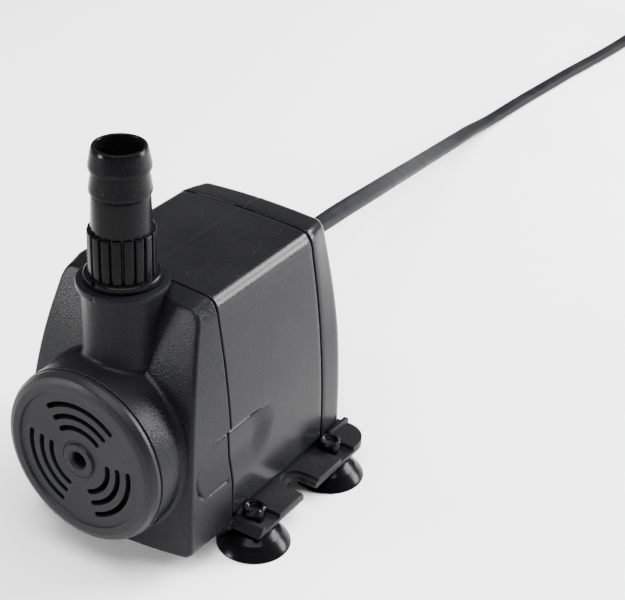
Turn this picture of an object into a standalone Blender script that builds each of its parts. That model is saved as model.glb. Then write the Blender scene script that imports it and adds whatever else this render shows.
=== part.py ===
"""Submersible fountain pump with a magnetically driven rotor, its hose adapter, suction feet and flat lead.

The pump stands on four suction cups on Z = 0 and is symmetric about X = 0. The round intake disc faces -Y,
its flat front lies on Y = 0, and the lead leaves the rear cover towards +Y. Lengths are in millimetres in
the tables below and are turned into metres when a mesh is made.
"""

import math

import bmesh
import bpy
from mathutils import Vector

MM = 0.001
GAP = 0.3
HELPER_TURN = 0.043
WELD_DISTANCE = 0.00004

# Pump axis, and the stations along it.
AXIS_Z = 42.0
SHELL_FRONT_Y = 13.6
SEAM_FRONT_Y = 36.0
SEAM_REAR_Y = 90.2
COVER_BACK_Y = 104.0
WALL = 2.2

# Body section: bottom, half width, shoulder and crown.
CHIN_Z = 8.5
BODY_BOTTOM_Z = 12.0
HALF_WIDTH = 35.4
SIDE_TAPER = 6.2
SHOULDER_Z = 86.5
SHOULDER_TOP = (24.5, 94.7)
CROWN_Z = 95.6

# Intake disc and pump chamber.
DISC_R = 30.5
DISC_DEPTH = 4.3
SLOT_RINGS = (20.0, 15.7, 11.6)
SLOT_WIDTH = 1.9
SLOT_HALF_ANGLE = math.radians(38.5)
SLOT_CENTRES = tuple(math.radians(88.0 + 120.0 * i) for i in range(3))
BARREL_R = 30.8
CAVITY_R = 20.0
CAVITY_FRONT_Y = 14.0
CHAMBER_STEP_Y = 32.5
CHAMBER_BACK_R = 26.0
CHAMBER_BACK_Y = 39.0

# Outlet.
OUTLET_Y = 25.1
TUBE_R = 13.5
TUBE_BORE_R = 9.9
FLANGE_R = 15.05
FLANGE_Z = 98.4
COLLAR_R = 12.5
COLLAR_Z = 101.0
GRIP_R = 10.85
GRIP_TOP_Z = 116.0
ADAPTER_TOP_Z = 144.1
ADAPTER_BORE_R = 7.5
SPIGOT_END_Z = 90.0
GRIP_RIBS = 18

# Rotor and motor.
ROTOR_R = 9.7
CAN_BORE_R = 10.2
CAN_R = 11.4
SHAFT_R = 1.2
CAN_FLANGE_R = 26.5

# Base plate and cups.
PLATE_HALF_WIDTH = 46.7
PLATE_FRONT_Y = 34.0
PLATE_REAR_Y = 107.0
PLATE_TOP_Z = 11.65
LEDGE_Z = 9.9
NOTCH_CENTRE = (40.0, 66.1)
NOTCH_R = 4.6
SEAT_R = 4.7
CUP_X = 39.3
CUP_YS = (43.2, 90.3)
CUP_R = 12.8
CUP_TOP_Z = 15.0

# Lead, a flat two-core cord.
LEAD_WIDTH = 7.0
LEAD_EXIT_Z = 67.5
GLAND_END_Y = 128.0

# Screws in the rear cover, as (x, z).
SCREW_PLACES = ((-24.0, 20.0), (24.0, 20.0), (-19.0, 84.0), (19.0, 84.0))


def material(name, colour, roughness, metallic=0.0):
    """One Principled material, made once for each finish."""
    mat = bpy.data.materials.new(name)
    mat.use_nodes = True
    shader = mat.node_tree.nodes["Principled BSDF"]
    shader.inputs["Base Color"].default_value = (*colour, 1.0)
    shader.inputs["Roughness"].default_value = roughness
    shader.inputs["Metallic"].default_value = metallic
    mat.diffuse_color = (*colour, 1.0)
    return mat


def make_object(name, verts, faces, finish=None, smooth_angle=35.0):
    """A mesh object from points in millimetres, with its normals turned outwards."""
    mesh = bpy.data.meshes.new(name)
    mesh.from_pydata([Vector(v) * MM for v in verts], [], faces)
    bm = bmesh.new()
    bm.from_mesh(mesh)
    bmesh.ops.recalc_face_normals(bm, faces=bm.faces)
    bm.to_mesh(mesh)
    bm.free()
    mesh.shade_smooth()
    mesh.set_sharp_from_angle(angle=math.radians(smooth_angle))
    obj = bpy.data.objects.new(name, mesh)
    bpy.context.scene.collection.objects.link(obj)
    if finish:
        mesh.materials.append(material(name + "_finish", *finish))
    return obj


def combine(obj, other, operation):
    """Cuts other out of obj, or joins it on, and leaves other as a hidden helper."""
    other.hide_render = True
    other.display_type = "WIRE"
    modifier = obj.modifiers.new(operation.title() + " " + other.name, "BOOLEAN")
    modifier.operation = operation
    modifier.solver = "EXACT"
    modifier.object = other


def cut(obj, *others):
    for other in others:
        combine(obj, other, "DIFFERENCE")


def join(obj, *others):
    for other in others:
        combine(obj, other, "UNION")


def weld(*objects):
    """Closes the hairline slivers that cuts can leave."""
    for obj in objects:
        modifier = obj.modifiers.new("Weld", "WELD")
        modifier.merge_threshold = WELD_DISTANCE


def arc(cx, cy, radius, start, end, count):
    """Points on an arc, with its angles in degrees."""
    points = []
    for i in range(count + 1):
        angle = math.radians(start + (end - start) * i / count)
        points.append((cx + radius * math.cos(angle), cy + radius * math.sin(angle)))
    return points


def turned(name, profile, axis, centre, finish=None, steps=40):
    """A body turned about an axis parallel to Y or Z. The profile is a closed list of (radius, height).

    A helper, which has no finish, starts a little off the X axis, so that its edges meet no other body's.
    """
    start = 0.0 if finish else HELPER_TURN
    verts = []
    rings = []
    for radius, height in profile:
        count = 1 if radius < 1e-6 else steps
        ring = []
        for i in range(count):
            angle = start + 2.0 * math.pi * i / steps
            across = radius * math.cos(angle)
            up = radius * math.sin(angle)
            ring.append(len(verts))
            if axis == "Y":
                verts.append((centre[0] + across, height, centre[1] + up))
            else:
                verts.append((centre[0] + across, centre[1] + up, height))
        rings.append(ring)
    faces = []
    for k, ring in enumerate(rings):
        after = rings[(k + 1) % len(rings)]
        if len(ring) == 1 and len(after) == 1:
            continue
        for i in range(steps):
            j = (i + 1) % steps
            if len(ring) == 1:
                faces.append((ring[0], after[j], after[i]))
            elif len(after) == 1:
                faces.append((ring[i], ring[j], after[0]))
            else:
                faces.append((ring[i], ring[j], after[j], after[i]))
    return make_object(name, verts, faces, finish)


def prism(name, outline, plane, low, high, finish=None):
    """An outline drawn in a plane ("XY", "XZ") and carried from low to high along the third axis."""
    verts = []
    for level in (low, high):
        for a, b in outline:
            verts.append((a, b, level) if plane == "XY" else (a, level, b))
    n = len(outline)
    faces = [tuple(range(n)), tuple(range(2 * n - 1, n - 1, -1))]
    for i in range(n):
        j = (i + 1) % n
        faces.append((i, j, n + j, n + i))
    return make_object(name, verts, faces, finish)


def box(name, low, high, finish=None):
    outline = [(low[0], low[1]), (high[0], low[1]), (high[0], high[1]), (low[0], high[1])]
    return prism(name, outline, "XY", low[2], high[2], finish)


def rounded_box(x0, x1, y0, y1, radius, count=5):
    """Outline of a rectangle with round corners."""
    outline = []
    outline += arc(x1 - radius, y0 + radius, radius, -90, 0, count)
    outline += arc(x1 - radius, y1 - radius, radius, 0, 90, count)
    outline += arc(x0 + radius, y1 - radius, radius, 90, 180, count)
    outline += arc(x0 + radius, y0 + radius, radius, 180, 270, count)
    return outline


def half_section(bottom, inset=0.0, scale=1.0, top_drop=0.0):
    """Right half of the body's section as (x, z), from the bottom edge up to the apex of the crown."""
    corner = 3.0
    points = arc(HALF_WIDTH - corner, bottom + corner, corner, -90, 0, 4)
    rise = SHOULDER_Z - 15.0
    for step in range(1, 9):
        t = step / 8.0
        points.append((HALF_WIDTH - SIDE_TAPER * t ** 2.2, max(15.0, bottom + corner) + rise * t))
    start = points[-1]
    control = (start[0] - 0.7, SHOULDER_TOP[1] - 0.7)
    for t in (0.25, 0.5, 0.75, 1.0):
        x = (1 - t) ** 2 * start[0] + 2 * t * (1 - t) * control[0] + t * t * SHOULDER_TOP[0]
        z = (1 - t) ** 2 * start[1] + 2 * t * (1 - t) * control[1] + t * t * SHOULDER_TOP[1]
        points.append((x, z))
    for t in (0.66, 0.33, 0.0):
        x = SHOULDER_TOP[0] * t
        points.append((x, CROWN_Z - (CROWN_Z - SHOULDER_TOP[1]) * t * t))
    shaped = []
    for x, z in points:
        drop = top_drop * max(0.0, (z - bottom) / (CROWN_Z - bottom))
        shaped.append((x * scale, z - drop))
    return inset_half(shaped, inset)


def inset_half(points, inset):
    """The half outline moved inwards by inset, square to itself."""
    moved = []
    last = len(points) - 1
    for i, (x, z) in enumerate(points):
        before = points[i - 1] if i > 0 else (0.0, z)
        after = points[i + 1] if i < last else (-points[i - 1][0], points[i - 1][1])
        along = Vector((after[0] - before[0], after[1] - before[1])).normalized()
        inward = Vector((-along.y, along.x))
        moved.append((x + inward.x * inset, z + inward.y * inset))
    moved[last] = (0.0, moved[last][1])
    return moved


def tucked(points, amount):
    """The half outline with its upper corner drawn in, by up to amount at the shoulder."""
    moved = []
    for x, z in points:
        lift = min(1.0, max(0.0, (z - 50.0) / 40.0))
        moved.append((x * (1.0 - amount / HALF_WIDTH * lift ** 1.5), z - 0.3 * amount * lift))
    return moved


def lofted(name, sections, finish=None, across=8):
    """A closed body through mirrored half sections, each with a function that gives Y from (x, z)."""
    verts = []
    faces = []
    rings = []
    for half, place in sections:
        outline = list(half) + [(-x, z) for x, z in reversed(half[:-1])]
        x_end, z_end = half[0]
        for i in range(1, across):
            outline.append((-x_end + 2.0 * x_end * i / across, z_end))
        ring = []
        for x, z in outline:
            ring.append(len(verts))
            verts.append((x, place(x, z), z))
        rings.append(ring)
    for ring, after in zip(rings, rings[1:]):
        for i in range(len(ring)):
            j = (i + 1) % len(ring)
            faces.append((ring[i], ring[j], after[j], after[i]))
    for index in (0, -1):
        half, place = sections[index]
        ring = rings[index]
        n = len(half)
        rows = []
        for k in range(n - 1):
            x, z = half[k]
            row = [ring[k]]
            for i in range(1, across):
                px = x - 2.0 * x * i / across
                if k == 0:
                    row.append(ring[2 * n - 1 + (across - 1 - i)])
                else:
                    row.append(len(verts))
                    verts.append((px, place(px, z), z))
            row.append(ring[2 * n - 2 - k])
            rows.append(row)
        for row, above in zip(rows, rows[1:]):
            for i in range(across):
                faces.append((row[i], row[i + 1], above[i + 1], above[i]))
        apex = ring[n - 1]
        top = rows[-1]
        for i in range(across):
            faces.append((top[i], top[i + 1], apex))
    return make_object(name, verts, faces, finish, smooth_angle=30.0)


def flat(y):
    return lambda x, z: y


def front_face(offset=0.0):
    """Y of the leaning, slightly bowed front face of the front shell."""
    def place(x, z):
        t = min(1.0, max(0.0, (z - CHIN_Z) / (CROWN_Z - 2.0 - CHIN_Z)))
        bow = 4.0 * (1.0 - t) * (1.0 - (x / 33.0) ** 2)
        return SHELL_FRONT_Y + 15.6 * t ** 2.3 - bow + offset
    return place


def arc_slot(name, radius, width, centre_angle, half_angle, y0, y1):
    """A curved slot about the pump axis with round ends."""
    outline = []
    middle = math.degrees(centre_angle)
    half = math.degrees(half_angle)
    outline += arc(0.0, AXIS_Z, radius + width / 2, middle - half, middle + half, 5)
    end = math.radians(middle + half)
    cx, cz = radius * math.cos(end), AXIS_Z + radius * math.sin(end)
    outline += arc(cx, cz, width / 2, middle + half, middle + half + 180, 3)[1:-1]
    outline += arc(0.0, AXIS_Z, radius - width / 2, middle + half, middle - half, 5)
    end = math.radians(middle - half)
    cx, cz = radius * math.cos(end), AXIS_Z + radius * math.sin(end)
    outline += arc(cx, cz, width / 2, middle - half + 180, middle - half + 360, 3)[1:-1]
    return prism(name, outline, "XZ", y0, y1)


BLACK = ((0.02, 0.02, 0.022), 0.45)
BLACK_MATT = ((0.018, 0.018, 0.02), 0.6)
RUBBER = ((0.012, 0.012, 0.013), 0.35)
STEEL = ((0.55, 0.55, 0.56), 0.35, 1.0)


def make_intake_disc():
    """Round cap with three fans of arc slots, a stepped face, a centre hole and a skirt."""
    profile = [
        (2.85, 0.9), (5.6, 0.0), (8.6, 0.6), (24.2, 0.6), (24.7, 0.0), (27.6, 0.0), (29.6, 1.1),
        (DISC_R, 3.0), (DISC_R, DISC_DEPTH), (28.0, DISC_DEPTH), (28.0, 8.6), (26.2, 8.6), (26.2, 2.9),
        (7.0, 2.9), (7.0, 6.2), (2.85, 6.2),
    ]
    disc = turned("intake_disc", profile, "Y", (0.0, AXIS_Z), BLACK, steps=40)
    for ring, radius in enumerate(SLOT_RINGS):
        for group, centre in enumerate(SLOT_CENTRES):
            label = f"slot_{ring}_{group}"
            cut(disc, arc_slot(label, radius, SLOT_WIDTH, centre, SLOT_HALF_ANGLE, -1.0, 4.0))
    weld(disc)
    return disc


def make_pump_chamber():
    """Barrel with three inlet windows and an impeller cavity, and the outlet tube with its top flange."""
    profile = [
        (0.0, 9.4), (28.4, 9.4), (28.4, DISC_DEPTH + GAP), (BARREL_R, DISC_DEPTH + GAP),
        (BARREL_R, CHAMBER_STEP_Y), (CHAMBER_BACK_R, CHAMBER_STEP_Y), (CHAMBER_BACK_R, CHAMBER_BACK_Y),
        (0.0, CHAMBER_BACK_Y),
    ]
    chamber = turned("pump_chamber", profile, "Y", (0.0, AXIS_Z), BLACK, steps=48)
    tube = turned("tube_outside", [
        (0.0, AXIS_Z), (TUBE_R, AXIS_Z), (TUBE_R, FLANGE_Z - 2.5), (FLANGE_R - 0.5, FLANGE_Z - 2.2),
        (FLANGE_R, FLANGE_Z - 1.8), (FLANGE_R, FLANGE_Z - 0.4), (FLANGE_R - 0.4, FLANGE_Z), (0.0, FLANGE_Z),
    ], "Z", (0.0, OUTLET_Y))
    bore = turned("tube_bore", [
        (0.0, AXIS_Z + 12.0), (TUBE_BORE_R, AXIS_Z + 12.0), (TUBE_BORE_R, FLANGE_Z + 1.0),
        (0.0, FLANGE_Z + 1.0),
    ], "Z", (0.0, OUTLET_Y), steps=32)
    cavity = turned("cavity_clear", [
        (0.0, CAVITY_FRONT_Y), (CAVITY_R, CAVITY_FRONT_Y), (CAVITY_R, CHAMBER_BACK_Y + 4.0),
        (0.0, CHAMBER_BACK_Y + 4.0),
    ], "Y", (0.0, AXIS_Z), steps=48)
    eye = turned("bush_hole", [
        (0.0, 5.0), (4.9, 5.0), (4.9, 20.0), (0.0, 20.0),
    ], "Y", (0.0, AXIS_Z), steps=32)
    join(chamber, tube)
    cut(chamber, cavity, bore, eye)
    for group, centre in enumerate(SLOT_CENTRES):
        window = arc_slot(f"window_{group}", 13.5, 9.0, centre, math.radians(24.0), 8.0, 15.0)
        cut(chamber, window)
    weld(chamber)
    return chamber


def make_front_shell():
    """Leaning front cover with round passages for the barrel and the outlet tube."""
    def outer(inset):
        return half_section(CHIN_Z, inset, scale=0.98, top_drop=1.4)

    back = half_section(CHIN_Z)
    shell = lofted("front_shell", [
        (outer(1.3), front_face()), (outer(0.4), front_face(0.4)), (outer(0.0), front_face(1.3)),
        (back, flat(SEAM_FRONT_Y - 0.4)), (inset_half(back, 0.4), flat(SEAM_FRONT_Y)),
    ], BLACK)
    hollow = lofted("front_hollow", [
        (outer(WALL), front_face(WALL)), (inset_half(back, WALL), flat(SEAM_FRONT_Y + 3.0)),
    ])
    barrel = turned("barrel_passage", [
        (0.0, -2.0), (BARREL_R + GAP, -2.0), (BARREL_R + GAP, 44.0), (0.0, 44.0),
    ], "Y", (0.0, AXIS_Z), steps=48)
    tube = turned("tube_passage", [
        (0.0, AXIS_Z), (TUBE_R + GAP, AXIS_Z), (TUBE_R + GAP, 130.0), (0.0, 130.0),
    ], "Z", (0.0, OUTLET_Y))
    notch = box("plate_notch", (-60.0, PLATE_FRONT_Y - GAP, 0.0), (60.0, 60.0, BODY_BOTTOM_Z))
    cut(shell, hollow, barrel, tube, notch)
    return shell


def make_motor_housing():
    """Middle of the body: walls, a front bulkhead with a hole for the rotor can, and the tube's notch."""
    section = half_section(BODY_BOTTOM_Z)
    front = SEAM_FRONT_Y + GAP
    housing = lofted("motor_housing", [
        (inset_half(section, 0.4), flat(front)), (section, flat(front + 0.4)),
        (section, flat(SEAM_REAR_Y - 0.4)), (inset_half(section, 0.4), flat(SEAM_REAR_Y)),
    ], BLACK)
    inner = inset_half(section, WALL)
    pocket = lofted("housing_pocket", [(inner, flat(front - 3.0)), (inner, flat(42.6))])
    hollow = lofted("housing_hollow", [(inner, flat(45.0)), (inner, flat(SEAM_REAR_Y + 3.0))])
    can = turned("can_passage", [
        (0.0, 40.0), (CAN_R + GAP, 40.0), (CAN_R + GAP, 47.0), (0.0, 47.0),
    ], "Y", (0.0, AXIS_Z))
    tube = turned("tube_notch", [
        (0.0, 80.0), (TUBE_R + GAP, 80.0), (TUBE_R + GAP, 130.0), (0.0, 130.0),
    ], "Z", (0.0, OUTLET_Y))
    cut(housing, pocket, hollow, can, tube)
    return housing


def make_rear_cover():
    """Shallow rear cover with a rounded back edge and the hole for the strain relief."""
    section = half_section(BODY_BOTTOM_Z)
    front = SEAM_REAR_Y + GAP
    cover = lofted("rear_cover", [
        (inset_half(section, 0.5), flat(front)), (inset_half(section, -0.2), flat(front + 0.6)),
        (tucked(inset_half(section, -0.2), 2.2), flat(COVER_BACK_Y - 4.0)),
        (tucked(inset_half(section, 0.4), 2.9), flat(COVER_BACK_Y - 1.8)),
        (tucked(inset_half(section, 1.6), 3.2), flat(COVER_BACK_Y - 0.5)),
        (tucked(inset_half(section, 3.2), 3.3), flat(COVER_BACK_Y)),
    ], BLACK)
    hollow = lofted("cover_hollow", [
        (inset_half(section, WALL), flat(front - 3.0)), (inset_half(section, WALL), flat(front + 0.6)),
        (tucked(inset_half(section, WALL), 2.2), flat(COVER_BACK_Y - 5.0)),
        (tucked(inset_half(section, WALL + 2.0), 3.3), flat(COVER_BACK_Y - WALL)),
    ])
    hole = turned("gland_hole", [
        (0.0, 95.0), (6.0, 95.0), (6.0, 110.0), (0.0, 110.0),
    ], "Y", (0.0, LEAD_EXIT_Z))
    cut(cover, hollow, hole)
    for x, z in SCREW_PLACES:
        seat = turned(f"seat_{x}_{z}", [
            (0.0, COVER_BACK_Y - 1.4), (3.2, COVER_BACK_Y - 1.4), (3.2, 110.0), (0.0, 110.0),
        ], "Y", (x, z), steps=12)
        shank = turned(f"shank_hole_{x}_{z}", [
            (0.0, 95.0), (1.6, 95.0), (1.6, 110.0), (0.0, 110.0),
        ], "Y", (x, z), steps=12)
        cut(cover, seat, shank)
    weld(cover)
    return cover


def make_screws():
    """Four stainless slotted screws that hold the rear cover."""
    for index, (x, z) in enumerate(SCREW_PLACES):
        y = COVER_BACK_Y - 1.1
        screw = turned(f"cover_screw_{index + 1}", [
            (0.0, y - 8.0), (1.3, y - 7.4), (1.3, y), (2.8, y), (2.8, y + 0.9), (2.2, y + 1.5),
            (0.0, y + 1.7),
        ], "Y", (x, z), STEEL, steps=12)
        cut(screw, box(f"drive_{index}", (x - 1.9, y + 0.8, z - 0.35), (x + 1.9, y + 3.0, z + 0.35)))


def make_rotor():
    """Impeller with six blades on a back disc, and the magnet behind it, which spin on the fixed shaft."""
    impeller = turned("impeller", [
        (SHAFT_R + GAP, 16.0), (4.6, 16.0), (5.2, 27.6), (16.4, 27.6), (16.4, 29.2), (6.0, 29.2),
        (6.0, 33.4), (SHAFT_R + GAP, 33.4),
    ], "Y", (0.0, AXIS_Z), ((0.62, 0.62, 0.6), 0.45), steps=40)
    for blade in range(6):
        turn = math.radians(60.0 * blade)
        outline = []
        for side in (0.7, -0.7):
            stretch = (4.0, 7.5, 11.5, 15.6) if side > 0 else (15.6, 11.5, 7.5, 4.0)
            for radius in stretch:
                angle = turn + 0.035 * (radius - 4.0) + side / radius
                outline.append((radius * math.cos(angle), AXIS_Z + radius * math.sin(angle)))
        join(impeller, prism(f"blade_{blade}", outline, "XZ", 17.5, 28.0))
    turned("rotor_magnet", [
        (SHAFT_R + GAP, 33.7), (ROTOR_R - 0.6, 33.7), (ROTOR_R, 34.3), (ROTOR_R, 71.4), (ROTOR_R - 0.6, 72.0),
        (SHAFT_R + GAP, 72.0),
    ], "Y", (0.0, AXIS_Z), ((0.07, 0.065, 0.06), 0.5), steps=40)
    turned("ceramic_shaft", [
        (0.0, 11.0), (SHAFT_R, 11.4), (SHAFT_R, 76.2), (0.0, 76.6),
    ], "Y", (0.0, AXIS_Z), ((0.86, 0.86, 0.82), 0.25), steps=24)


def make_bushes():
    """Rubber bushes that hold the two ends of the shaft."""
    turned("shaft_bush_front", [
        (0.0, 7.2), (2.4, 7.2), (2.4, 9.0), (4.6, 9.4), (4.6, 14.6), (SHAFT_R + GAP, 14.6),
        (SHAFT_R + GAP, 10.6), (0.0, 10.6),
    ], "Y", (0.0, AXIS_Z), RUBBER, steps=32)
    turned("shaft_bush_rear", [
        (SHAFT_R + GAP, 72.6), (4.4, 72.6), (4.4, 77.6), (0.0, 77.6), (0.0, 77.0), (SHAFT_R + GAP, 77.0),
    ], "Y", (0.0, AXIS_Z), RUBBER, steps=32)


def make_rotor_can():
    """Thin cup that keeps the rotor's water out of the motor, with its flange behind the chamber."""
    turned("rotor_can", [
        (CAN_BORE_R, 34.4), (CAVITY_R - 0.4, 34.4), (CAVITY_R - 0.4, CHAMBER_BACK_Y + GAP),
        (CAN_FLANGE_R, CHAMBER_BACK_Y + GAP), (CAN_FLANGE_R, 42.2), (CAN_R, 42.2), (CAN_R, 79.4), (0.0, 79.4),
        (0.0, 78.0), (4.8, 78.0), (4.8, 74.6), (CAN_BORE_R, 74.6),
    ], "Y", (0.0, AXIS_Z), ((0.05, 0.05, 0.055), 0.4), steps=36)


def make_chamber_seal():
    """Flat rubber ring clamped between the rotor can's flange and the bulkhead."""
    turned("chamber_seal", [
        (14.0, 42.2 + 0.05), (26.0, 42.2 + 0.05), (26.0, 42.55), (14.0, 42.55),
    ], "Y", (0.0, AXIS_Z), RUBBER, steps=40)


def make_stator():
    """Laminated core with two legs through the coils, closed by a yoke above."""
    outline = [(-22.0, 24.0), (22.0, 24.0), (22.0, 57.0), (18.0, 60.0), (18.0, 88.0), (-18.0, 88.0),
               (-18.0, 60.0), (-22.0, 57.0)]
    core = prism("stator_core", outline, "XZ", 52.0, 74.0, ((0.32, 0.33, 0.35), 0.45, 0.8))
    bore = turned("core_bore", [
        (0.0, 50.0), (CAN_R + GAP, 50.0), (CAN_R + GAP, 76.0), (0.0, 76.0),
    ], "Y", (0.0, AXIS_Z))
    window = box("core_window", (-8.8, 50.0, 58.0), (8.8, 76.0, 81.0))
    throat = box("core_throat", (-1.6, 50.0, 48.0), (1.6, 76.0, 60.0))
    cut(core, bore, window, throat)
    for name, side in (("coil_left", -1.0), ("coil_right", 1.0)):
        middle = 13.4 * side
        outline = rounded_box(middle - 9.0, middle + 9.0, 46.8, 79.2, 4.0, 3)
        coil = prism(name, outline, "XY", 61.5, 79.5, ((0.42, 0.2, 0.08), 0.4))
        cut(coil, box(name + "_hole", (middle - 4.9, 51.7, 55.0), (middle + 4.9, 74.3, 90.0)))


def make_potting():
    """Resin cast round the coils and the core, which seals them off from the water."""
    inner = inset_half(half_section(BODY_BOTTOM_Z), WALL + GAP)
    resin = lofted("resin_potting", [(inner, flat(45.0 + GAP)), (inner, flat(86.0))],
                   ((0.03, 0.035, 0.05), 0.3))
    can = turned("resin_can_hole", [
        (0.0, 40.0), (CAN_R + GAP, 40.0), (CAN_R + GAP, 79.4 + GAP), (0.0, 79.4 + GAP),
    ], "Y", (0.0, AXIS_Z))
    room = box("resin_motor_room", (-22.8, 46.3, 23.6), (22.8, 79.6, 88.4))
    cut(resin, can, room)


def make_strain_relief():
    """Tapered rubber sleeve that holds the lead where it leaves the rear cover."""
    y = COVER_BACK_Y
    gland = turned("strain_relief", [
        (3.9, y - 4.6), (8.0, y - 4.6), (8.0, y - 2.5), (5.7, y - 2.5), (5.7, y + 0.4), (6.8, y + 0.4),
        (6.8, y + 2.6), (5.6, y + 3.4), (5.1, GLAND_END_Y - 1.0), (4.6, GLAND_END_Y), (3.9, GLAND_END_Y),
    ], "Y", (0.0, LEAD_EXIT_Z), RUBBER, steps=32)
    return gland


def edge_bite(name, side, centre, radius, low, high):
    """A cutter with a round inner end that runs out over the plate's edge on one side."""
    outline = [(side * 60.0, centre[1] - radius)]
    outline += [(side * x, y) for x, y in arc(*centre, radius, 270, 90, 9)]
    outline += [(side * 60.0, centre[1] + radius)]
    return prism(name, outline, "XY", low, high)


def make_base_plate():
    """Plate under the body with side tabs, a stepped seat round each cup hole and a notch between them."""
    front, rear, edge = PLATE_FRONT_Y, PLATE_REAR_Y, PLATE_HALF_WIDTH
    outline = arc(edge - 3.0, front + 3.0, 3.0, -90, 0, 4)
    outline += arc(edge - 9.0, rear - 9.0, 9.0, 0, 90, 6)
    outline += [(-x, y) for x, y in reversed(outline)]
    plate = prism("base_plate", outline, "XY", CHIN_Z, PLATE_TOP_Z, BLACK_MATT)
    for side, label in ((-1.0, "left"), (1.0, "right")):
        rib_x = sorted((side * (HALF_WIDTH + 0.6), side * (HALF_WIDTH + 2.2)))
        join(plate, box("rib_" + label, (rib_x[0], 92.0, CHIN_Z + 1.0), (rib_x[1], rear - 1.0, 15.0)))
        cut(plate, edge_bite("notch_" + label, side, NOTCH_CENTRE, NOTCH_R, 0.0, 20.0))
        for row, cup_y in enumerate(CUP_YS):
            cut(plate, edge_bite(f"seat_{label}_{row}", side, (CUP_X + 0.4, cup_y), SEAT_R, LEDGE_Z, 20.0))
            hole = [(0.0, 0.0), (3.0, 0.0), (3.0, 30.0), (0.0, 30.0)]
            cut(plate, turned(f"hole_{label}_{row}", hole, "Z", (side * CUP_X, cup_y), steps=24))
    return plate


def make_cups():
    """Four rubber suction cups, each with a neck through the plate and a head on the ledge."""
    for x_name, x in (("left", -CUP_X), ("right", CUP_X)):
        for y_name, y in (("front", CUP_YS[0]), ("rear", CUP_YS[1])):
            turned(f"suction_cup_{y_name}_{x_name}", [
                (0.0, 3.2), (8.5, 1.9), (11.5, 0.0), (12.5, 0.0), (CUP_R, 0.3), (11.6, 2.1), (8.8, 4.8),
                (5.4, 6.9), (4.0, CHIN_Z - GAP), (2.6, CHIN_Z - GAP), (2.6, LEDGE_Z + GAP),
                (3.9, LEDGE_Z + GAP), (3.7, CUP_TOP_Z - 0.6), (3.1, CUP_TOP_Z), (0.0, CUP_TOP_Z - 0.4),
            ], "Z", (x, y), RUBBER, steps=24)


def make_hose_adapter():
    """Collar, ribbed grip, shank and two barbs, with a plain bore and a spigot inside the outlet tube."""
    profile = [
        (8.9, SPIGOT_END_Z), (8.9, FLANGE_Z + GAP), (COLLAR_R, FLANGE_Z + GAP), (COLLAR_R, COLLAR_Z - 0.5),
        (COLLAR_R - 0.5, COLLAR_Z), (GRIP_R - 0.5, COLLAR_Z), (GRIP_R - 0.7, GRIP_TOP_Z), (9.75, GRIP_TOP_Z),
        (9.3, 128.0), (9.1, 128.6), (9.95, 129.0), (9.95, 130.4), (9.05, 135.8), (9.05, 136.4), (9.9, 136.8),
        (9.9, 138.2), (8.95, 143.2), (8.5, ADAPTER_TOP_Z), (ADAPTER_BORE_R, ADAPTER_TOP_Z),
        (ADAPTER_BORE_R, SPIGOT_END_Z),
    ]
    adapter = turned("hose_adapter", profile, "Z", (0.0, OUTLET_Y), BLACK, steps=36)
    for rib in range(GRIP_RIBS):
        middle = math.radians(360.0 / GRIP_RIBS * (rib + 0.5))
        outline = []
        for radius, turn in ((9.9, -0.075), (GRIP_R, -0.065), (GRIP_R, 0.065), (9.9, 0.075)):
            outline.append((radius * math.cos(middle + turn), OUTLET_Y + radius * math.sin(middle + turn)))
        join(adapter, prism(f"grip_rib_{rib}", outline, "XY", COLLAR_Z - 0.2, GRIP_TOP_Z - 0.3))
    return adapter


def make_adapter_seal():
    """Rubber ring round the adapter's spigot, inside the outlet tube."""
    centre_r, centre_z, radius = 9.05 + 0.35, 93.0, 0.3
    profile = arc(centre_r, centre_z, radius, 0, 300, 5)
    turned("adapter_seal", profile, "Z", (0.0, OUTLET_Y), RUBBER, steps=32)


# The lead's route: out of the strain relief, down to the floor in a long fall, and on to the coil. The floor
# stretch lies with the cord's own radius above Z = 0.
LEAD_ROUTE = [
    (0.0, GLAND_END_Y + GAP, 67.5), (-0.7, 143.0, 66.6), (-3.6, 165.0, 63.2), (-9.6, 195.0, 56.1),
    (-17.5, 225.0, 47.3), (-26.0, 255.0, 37.9), (-34.4, 285.0, 28.6), (-42.1, 315.0, 20.0),
    (-48.5, 345.0, 12.6), (-53.1, 375.0, 7.1), (-54.8, 400.0, 4.3), (-54.1, 430.0, 3.6),
    (-51.0, 475.0, 3.5), (-48.3, 525.0, 3.5), (-45.8, 570.0, 3.5),
]
COIL_CENTRE = (-6.0, 592.4)
COIL_MID_R = 35.0
COIL_HALF_WIDTH = 7.5
COIL_HEIGHT = 13.2
PLUG_X = COIL_CENTRE[0] + 38.5
PLUG_REAR_Y = COIL_CENTRE[1] - 26.4
PLUG_HEIGHT = 13.6

# The part's own origin lies under the middle of its footprint, halfway from the disc's face to the plate's
# rear edge. Each joint has an empty on its axis, which carries the pieces that move on it.
MIDDLE_Y = PLATE_REAR_Y / 2
HOUSING = "housing_origin"
JOINT_POINTS = {
    HOUSING: (0.0, MIDDLE_Y, 0.0),
    "rotor_axis": (0.0, 27.0, AXIS_Z),
    "disc_axis": (0.0, 0.0, AXIS_Z),
    "adapter_axis": (0.0, OUTLET_Y, FLANGE_Z),
    "head_slide": (0.0, SEAM_FRONT_Y, AXIS_Z),
}
CARRIED_BY = {
    "impeller": "rotor_axis", "rotor_magnet": "rotor_axis", "intake_disc": "disc_axis",
    "hose_adapter": "adapter_axis", "adapter_seal": "adapter_axis", "front_shell": "head_slide",
    "pump_chamber": "head_slide", "shaft_bush_front": "head_slide",
}


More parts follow.
